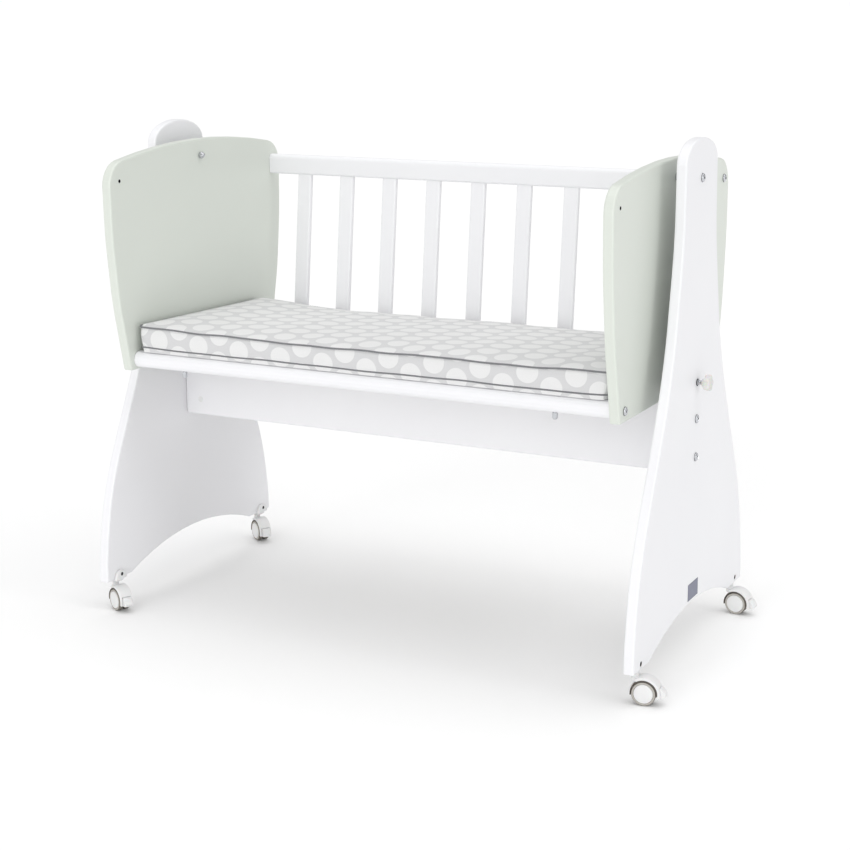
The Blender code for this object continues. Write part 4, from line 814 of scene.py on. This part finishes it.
def makePivotSpacer(side, sign):
    middle, low, high = nodeMiddle(f"pivot_spacer_{side}")
    half = (high[0] - low[0]) / 2
    outer, bore, edge = pivot["spacer"], pivot["spacerBore"], pivot["spacerEdge"]
    washer, washerFace = pivot["washer"], half - pivot["washerThickness"]
    end = washerFace - pivot["gap"]
    sleeve = [(bore, -half), (outer - edge, -half), (outer, -half + edge), (outer, end - edge),
              (outer - edge, end), (bore, end)]
    disc = [(bore, washerFace), (washer, washerFace), (washer, half), (bore, half)]
    parts = [turnedPart(sleeve, 0, closed=True), turnedPart(disc, 1, closed=True)]
    makePiece(f"pivot_spacer_{side}_detailed", parts, ["zinc", "darkSteelAndShade"], "stand",
              [f"pivot_spacer_{side}"], alongAxis(middle, (sign, 0, 0)))


for side, sign in ends.items():
    makePivotNut(side, sign)
    makePivotSpacer(side, sign)
print("bolts and pivots made")


# Studs with round nuts under the front rail. The profile's heights start at the nut's upper face
sideNut = {
    "length": 0.0105, "stud": 0.0029,
    "profile": ((0.0029, 0), (0.0045, 0), (0.0045, -0.0085), (0.0039, -0.0098), (0.0033, -0.0105),
                (0.0021, -0.0102), (0.0021, -0.0078), (0, -0.0078)),
}


def makeSideNut(side):
    middle, low, high = nodeMiddle(f"side_bolt_{side}")
    face = low[2] + sideNut["length"]
    top = high[2] - face
    parts = [turnedPart([(0, top), (sideNut["stud"], top), *sideNut["profile"]])]
    place = Matrix.Translation((middle[0], middle[1], face))
    makePiece(f"side_bolt_{side}_detailed", parts, ["zinc"], "cradle",
              [f"side_bolt_{side}"], place)


for side in ends:
    makeSideNut(side)


# Lock: threaded bolt, flanged insert and lobed knob
lock = {
    "pitch": 0.00125, "root": 0.0034, "crest": 0.0039, "sides": 24,
    # a bright collar stands out of a dark flange on the board. Its heights start at the board's face
    "seat": 0.003,
    "collar": ((0.0043, 0.0029), (0.0048, 0.0029), (0.005, 0.0027), (0.005, -0.0178), (0.0043, -0.0178)),
    "flange": ((0.0051, 0.0012), (0.0057, 0.0012), (0.0061, 0.0008), (0.0061, 0.0003), (0.0054, 0.0002),
               (0.0054, -0.001), (0.0051, -0.001)),
    "lobes": 5, "knobRadius": 0.0126, "lobe": 0.0016, "knobRound": 0.0032, "knobSides": 120,
    "hub": ((0.0044, 0.0), (0.0063, 0.0), (0.0068, 0.0005), (0.0068, 0.0038)), "hole": 0.55,
    "face": 0.0006,  # the lobes' face lies this far under the boss
    # share of the radius and rise: the face is dished and has a small boss in the middle
    "dish": ((0.62, -0.0004), (0.42, -0.0004), (0.36, 0.0), (0.3, 0.0005), (0.02, 0.0006)),
}


def threadPart(length):
    # a screw thread whose ends taper by a fifth: r = root + (crest - root) tent(z / pitch - t / full turn)
    step = lock["pitch"] / 6
    levels = np.arange(0.0, length, step)[:, None]
    turn = np.linspace(0, math.tau, lock["sides"], endpoint=False)
    phase = (levels / lock["pitch"] - turn / math.tau) % 1
    tent = 1 - np.abs(2 * phase - 1)
    fade = np.clip(np.minimum(levels, length - levels) / (2 * step), 0, 1)
    radius = (lock["root"] + (lock["crest"] - lock["root"]) * tent) * (0.8 + 0.2 * fade)
    return shapedPart(zip(radius, levels.ravel()), turn)


def knobPart(depth):
    # hub, then the lobed disc, r = knob radius + lobe cos(lobes t), whose rims are quarter circles
    turn = np.linspace(0, math.tau, lock["knobSides"], endpoint=False)
    lobed = lock["knobRadius"] + lock["lobe"] * np.cos(lock["lobes"] * turn)
    rows = [(lock["hub"][0][0], depth * lock["hole"]), *lock["hub"]]
    edge, under, face = lock["knobRound"], lock["hub"][-1][1], depth - lock["face"]
    quarter = np.linspace(0, math.pi / 2, 7)
    insets, drops = edge * (1 - np.sin(quarter)), edge * (1 - np.cos(quarter))
    rows += [(lobed - inset, under + drop) for inset, drop in zip(insets, drops)]
    rows += [(lobed - inset, face - drop) for inset, drop in zip(insets[::-1], drops[::-1])]
    rows += [(share * (lobed + lock["knobRadius"]) / 2, face + rise) for share, rise in lock["dish"]]
    return shapedPart(rows, turn)


def makeLock():
    middle, low, high = nodeMiddle("lock_bolt")
    parts = [threadPart(high[0] - low[0])]
    place = alongAxis((low[0], middle[1], middle[2]), (1, 0, 0))
    makePiece("lock_bolt_detailed", parts, ["zinc"], "lock_bolt", ["lock_bolt"], place)

    middle, low, high = nodeMiddle("lock_insert")
    parts = [turnedPart(lock["collar"], 0, closed=True), turnedPart(lock["flange"], 1, closed=True)]
    place = alongAxis((high[0] - lock["seat"], middle[1], middle[2]), (1, 0, 0))
    makePiece("lock_insert_detailed", parts, ["zinc", "darkSteelAndShade"], "stand",
              ["lock_insert"], place)

    middle, low, high = nodeMiddle("lock_knob")
    parts = [knobPart(high[0] - low[0])]
    place = alongAxis((low[0], middle[1], middle[2]), (1, 0, 0))
    makePiece("lock_knob_detailed", parts, ["milkyKnob"], "lock_knob", ["lock_knob"], place)


makeLock()
print("lock made")


# Castors. Lengths are in metres, angles in degrees; profiles are pairs of radius and height
castor = {
    "stem": (0.5085, 0.237),  # from the stand's middle
    "foot": 0.0565, "trail": 0.015,
    # signs of X and Y, and the angle that the castor has swivelled to
    "corners": {"front_right": (1, -1, 8.8), "back_right": (1, 1, -4.5),
                "front_left": (-1, -1, -25.6), "back_left": (-1, 1, -33.3)},
}
wheel = {
    "radius": 0.02, "offset": 0.0075, "sides": 56,
    # a white hub disc; the tyre is a pale side ring and a rolling band darkened with painted shade, which
    # meet on the shoulder
    "hub": ((0, 0.0052), (0.006, 0.00515), (0.0146, 0.005), (0.0153, 0.0047), (0.0156, 0.004),
            (0.0156, -0.004), (0, -0.004)),
    "sideRing": ((0.0158, 0.0038), (0.0162, 0.0042), (0.0172, 0.0044), (0.0186, 0.0042), (0.019, 0.004),
                 (0.019, 0.001), (0.0158, 0.001)),
    "band": ((0.019, 0.0039), (0.0196, 0.0034), (0.01995, 0.0022), (0.02, 0.0008), (0.01995, -0.0034),
             (0.0192, -0.0043), (0.0158, -0.0044), (0.0158, 0.0009), (0.019, 0.0009)),
}
hood = {
    # inner and outer radius of the shell and of its lining
    "shell": (0.0223, 0.0269), "lining": (0.0206, 0.022), "halfWidth": 0.0119, "edge": 0.0012,
    "liningEdge": 0.0005, "gap": 0.0001, "slotHalf": 0.0083, "slotEnd": 21, "hoodEnd": 125,
    "cheekEnd": -14.5, "overlap": 4, "liningIn": 0.0022, "liningEnd": 190, "sideLining": -8,
    "boss": ((0, 0.0496), (0.0054, 0.0496), (0.0058, 0.0492), (0.0059, 0.046), (0.0062, 0.0448),
             (0.007, 0.0438), (0.007, 0.038), (0, 0.038)),
    "webRadius": 0.0236, "webTurn": (20, 188), "webFoot": ((-0.006, -0.003), (0.003, -0.005)),
    "webHalf": 0.0019, "webEdge": 0.0003,
    "axle": ((0, 0.0084), (0.0019, 0.0084), (0.0019, -0.0084), (0, -0.0084)),
}
pedal = {
    "half": 0.0079, "edge": 0.0014, "reach": 0.0376,
    # side view as knots of a curve, in shares of the reach from the axle
    "knots": ((0.618, 0.12), (0.602, 0.165), (0.6, 0.212), (0.643, 0.2385), (0.69, 0.253),
              (0.745, 0.25), (0.8, 0.22), (0.855, 0.16), (0.905, 0.08), (0.938, 0),
              (0.94, -0.07), (0.905, -0.14), (0.84, -0.18), (0.78, -0.17), (0.725, -0.16),
              (0.66, -0.19), (0.64, -0.12), (0.632, 0)),
}
bracket = {
    "inner": 0.0093, "finHalf": 0.003, "finRadius": 0.0154, "finRise": 0.0016, "finEdge": 0.0013,
    # the arm's side view: down from the fin's face, round under the foot to the stem, and up
    "armStart": ((-0.005, -0.0006), (-0.005, -0.0066)), "bend": (0.002, -0.0003),
    "bendReach": (0.0131, 0.0063), "armEnd": ((0.0151, 0.006), (0.0094, 0.006), (0.0094, -0.0006)),
    "armHalf": 0.0049, "armEdge": 0.0005,
    "neck": ((0, 0.0549), (0.0046, 0.0549), (0.0049, 0.0545), (0.0049, 0.0506), (0.0045, 0.05),
             (0.003, 0.05), (0.003, 0.04), (0, 0.04)),
    # the bush through the board, and the dark cup in it: painted shade of the counterbore round its sunk
    # screw
    "bushLevel": 0.0095,
    "bush": ((0.0042, 0.0042), (0.0042, 0.0084), (0.0045, 0.0087), (0.0051, 0.0087), (0.0054, 0.0084),
             (0.0054, -0.0118), (0.001, -0.0118), (0.001, 0.0042)),
    "shadeCup": ((0, 0.0044), (0.0032, 0.0044), (0.0039, 0.0051), (0.0039, 0.0082), (0.0041, 0.0082),
            (0.0041, 0.0041), (0, 0.0041)),
    # a screw head sunk in the fin, dark as painted shade of its recess
    "finScrew": ((0, 0.0004), (0.0028, 0.0004), (0.003, 0.0005), (0.0033, 0.0004), (0.0033, 0), (0, 0)),
    "screwSunk": 0.0002,
}
standMiddle = padMiddle[0]


def arcPoints(radiusX, radiusY, turn):
    # points of an ellipse: x = a cos t, y = b sin t
    return np.column_stack([radiusX * np.cos(turn), radiusY * np.sin(turn)])


def smoothLoop(knots, steps):
    # closed Catmull-Rom curve through the knots
    a, b, c, d = (np.roll(np.asarray(knots, float), shift, 0)[:, None] for shift in (1, 0, -1, -2))
    t = np.linspace(0, 1, steps, endpoint=False)[None, :, None]
    square = a - 2.5 * b + 2 * c - 0.5 * d
    cube = 1.5 * b - 0.5 * a - 1.5 * c + 0.5 * d
    return (b + 0.5 * t * (c - a) + t ** 2 * square + t ** 3 * cube).reshape(-1, 2)


def wheelParts():
    return [
        turnedPart(wheel["hub"], 0, wheel["sides"]),
        turnedPart(wheel["sideRing"], 1, wheel["sides"], closed=True),
        turnedPart(wheel["band"], 2, wheel["sides"], closed=True),
    ]


def hoodParts():
    # the shell over the wheels with its slot and two cheeks, the taupe lining darkened with painted shade,
    # stem boss, web and axle
    wide, slot, gap = hood["halfWidth"], hood["slotHalf"], hood["gap"]

    def band(radii, near, far, start, end, edge, number=0, steps=28):
        low, high = sorted((near, far))
        return arcBandPart(*radii, low, high, math.radians(start), math.radians(end), edge, number, steps)

    parts = [band(hood["shell"], -wide, wide, hood["slotEnd"], hood["hoodEnd"], hood["edge"])]
    for sign in (-1, 1):
        cheek = (sign * slot, sign * wide, hood["cheekEnd"], hood["slotEnd"] + hood["overlap"])
        parts.append(band(hood["shell"], *cheek, hood["edge"], 0, 12))
        # the lining is cut back behind the pedal, which tips into the slot
        behind = (sign * hood["liningIn"], sign * (slot + gap), hood["slotEnd"] + 1, hood["liningEnd"])
        beside = (sign * (slot + gap), sign * (wide - gap), hood["sideLining"], hood["liningEnd"])
        parts += [band(hood["lining"], *span, hood["liningEdge"], 1, 36) for span in (behind, beside)]
    toStem = Matrix.Translation((-castor["trail"], 0, -wheel["radius"]))
    parts.append(movedPart(turnedPart(hood["boss"]), toStem))
    turn = np.linspace(*np.radians(hood["webTurn"]), 30)
    web = np.concatenate([arcPoints(hood["webRadius"], hood["webRadius"], turn), hood["webFoot"]])
    for part in (platePart(web, hood["webHalf"], hood["webEdge"]), turnedPart(hood["axle"], 0, 20)):
        parts.append(movedPart(part, quarterTurn("X")))
    return parts


def bracketParts(sideX):
    # fin on the board's inner face, arm and neck under the foot, bush through the board, two screws; the
    # bush's dark cup and the dark screw in the fin are painted shade of their recesses
    half, radius = bracket["finHalf"], bracket["finRadius"]
    outline = arcPoints(radius, radius, np.linspace(0, math.pi, 25)) + (0, bracket["finRise"])
    outline = np.concatenate([[(-radius, 0.0), (radius, 0.0)], outline])
    finPlace = Matrix.Translation((-sideX * (bracket["inner"] + half), 0, castor["foot"])) @ standUp
    parts = [movedPart(platePart(outline, half, bracket["finEdge"]), finPlace)]

    reachX, reachZ = bracket["bendReach"]
    turn = np.linspace(0, math.pi / 2, 9) - math.pi / 2
    bend = arcPoints(reachX, reachZ, turn) + bracket["bend"]
    side = np.concatenate([bracket["armStart"], bend, bracket["armEnd"]]) * (-sideX, 1)
    armPlace = Matrix.Translation((0, 0, castor["foot"])) @ quarterTurn("X")
    parts.append(movedPart(platePart(side, bracket["armHalf"], bracket["armEdge"]), armPlace))
    parts.append(turnedPart(bracket["neck"]))

    level = castor["foot"] + bracket["bushLevel"]
    bushPlace = alongAxis((0, 0, level), (sideX, 0, 0))
    parts.append(movedPart(turnedPart(bracket["bush"], closed=True), bushPlace))
    parts.append(movedPart(turnedPart(bracket["shadeCup"], 1), bushPlace))
    finFace = bracket["inner"] + 2 * half - bracket["screwSunk"]
    screwPlace = alongAxis((-sideX * finFace, 0, level), (-sideX, 0, 0))
    parts.append(movedPart(turnedPart(bracket["finScrew"], 1), screwPlace))
    return parts


def makeCastor(label, sideX, sideY, angle):
    name = f"castor_{label}"
    stem = Matrix.Translation((standMiddle + sideX * castor["stem"][0], sideY * castor["stem"][1], 0))
    toAxle = Matrix.Translation((castor["trail"], 0, wheel["radius"]))
    axle = stem @ Matrix.Rotation(math.radians(angle), 4, "Z") @ toAxle
    makePiece(f"{name}_hood_moulded", hoodParts(), ["nylon", "housingAndShade"], name,
              [f"{name}_hood"], axle)

    outline = smoothLoop(np.array(pedal["knots"]) * pedal["reach"], 5)
    parts = [platePart(outline, pedal["half"], pedal["edge"])]
    makePiece(f"{name}_brake_moulded", parts, ["nylon"], f"{name}_brake",
              [f"{name}_brake_pedal"], axle @ quarterTurn("X"))

    for end, sign in (("front", -1), ("back", 1)):
        outwards = Matrix.Rotation(-sign * math.pi / 2, 4, "X")
        place = axle @ Matrix.Translation((0, sign * wheel["offset"], 0)) @ outwards
        makePiece(f"{name}_wheel_{end}_moulded", wheelParts(), ["nylon", "tread", "treadShade"],
                  f"{name}_wheel_{end}", [f"{name}_wheel_{end}"], place)

    makePiece(f"{name}_bracket_moulded", bracketParts(sideX), ["nylon", "darkSteelAndShade"], "stand",
              [f"{name}_bracket"], stem)


for label, settings in castor["corners"].items():
    makeCastor(label, *settings)
print("castors made")


# Bare plate on the right stand end, and the flush caps over the stretcher's barrel nuts
plate = {"width": 0.053, "height": 0.032, "y": 0.002, "z": 0.059, "thickness": 0.0005, "edge": 0.0001,
         "borders": (0.0014, 0.003), "borderEdge": 0.00004, "lift": 0.00008}
nutCap = {"radius": 0.0055, "round": 0.0006, "proud": 0.0003, "sunk": 0.001, "inset": 0.033, "z": 0.2925}


def makePlate():
    # three sheets, each smaller and a little prouder than the one below: edge, frame and field
    half = plate["thickness"] / 2
    face = nodeMiddle("stand_end_right")[2][0]
    place = Matrix.Translation((face + half, plate["y"], castor["foot"] + plate["z"])) @ standUp
    outline = np.array([(-0.5, -0.5), (0.5, -0.5), (0.5, 0.5), (-0.5, 0.5)])
    outline *= (plate["width"], plate["height"])
    parts = [platePart(outline, half, plate["edge"], 0, 1)]
    for number, border in enumerate(plate["borders"], 1):
        sheet = platePart(insetOutline(outline, border), half, plate["borderEdge"], number, 1)
        parts.append(movedPart(sheet, Matrix.Translation((0, 0, number * plate["lift"]))))
    makePiece("bare_plate", parts, ["plateRim", "plateFrame", "plate"], "stand",
              place=place, smoothAngle=20)


def makeNutCaps():
    low, high = nodeMiddle("stretcher_board")[1:]
    radius, proud, sunk = nutCap["radius"], nutCap["proud"], nutCap["sunk"]
    profile = [(0, proud), (radius - nutCap["round"], proud), (radius, 0), (radius, -sunk), (0, -sunk)]
    level = castor["foot"] + nutCap["z"]
    parts = []
    for along in (low[0] + nutCap["inset"], high[0] - nutCap["inset"]):
        for y, facing in ((low[1], -1), (high[1], 1)):
            parts.append(movedPart(turnedPart(profile), alongAxis((along, y, level), (0, facing, 0))))
    makePiece("stretcher_nut_caps", parts, ["nylon"], "stand")


makePlate()
makeNutCaps()
print("plate and caps made")
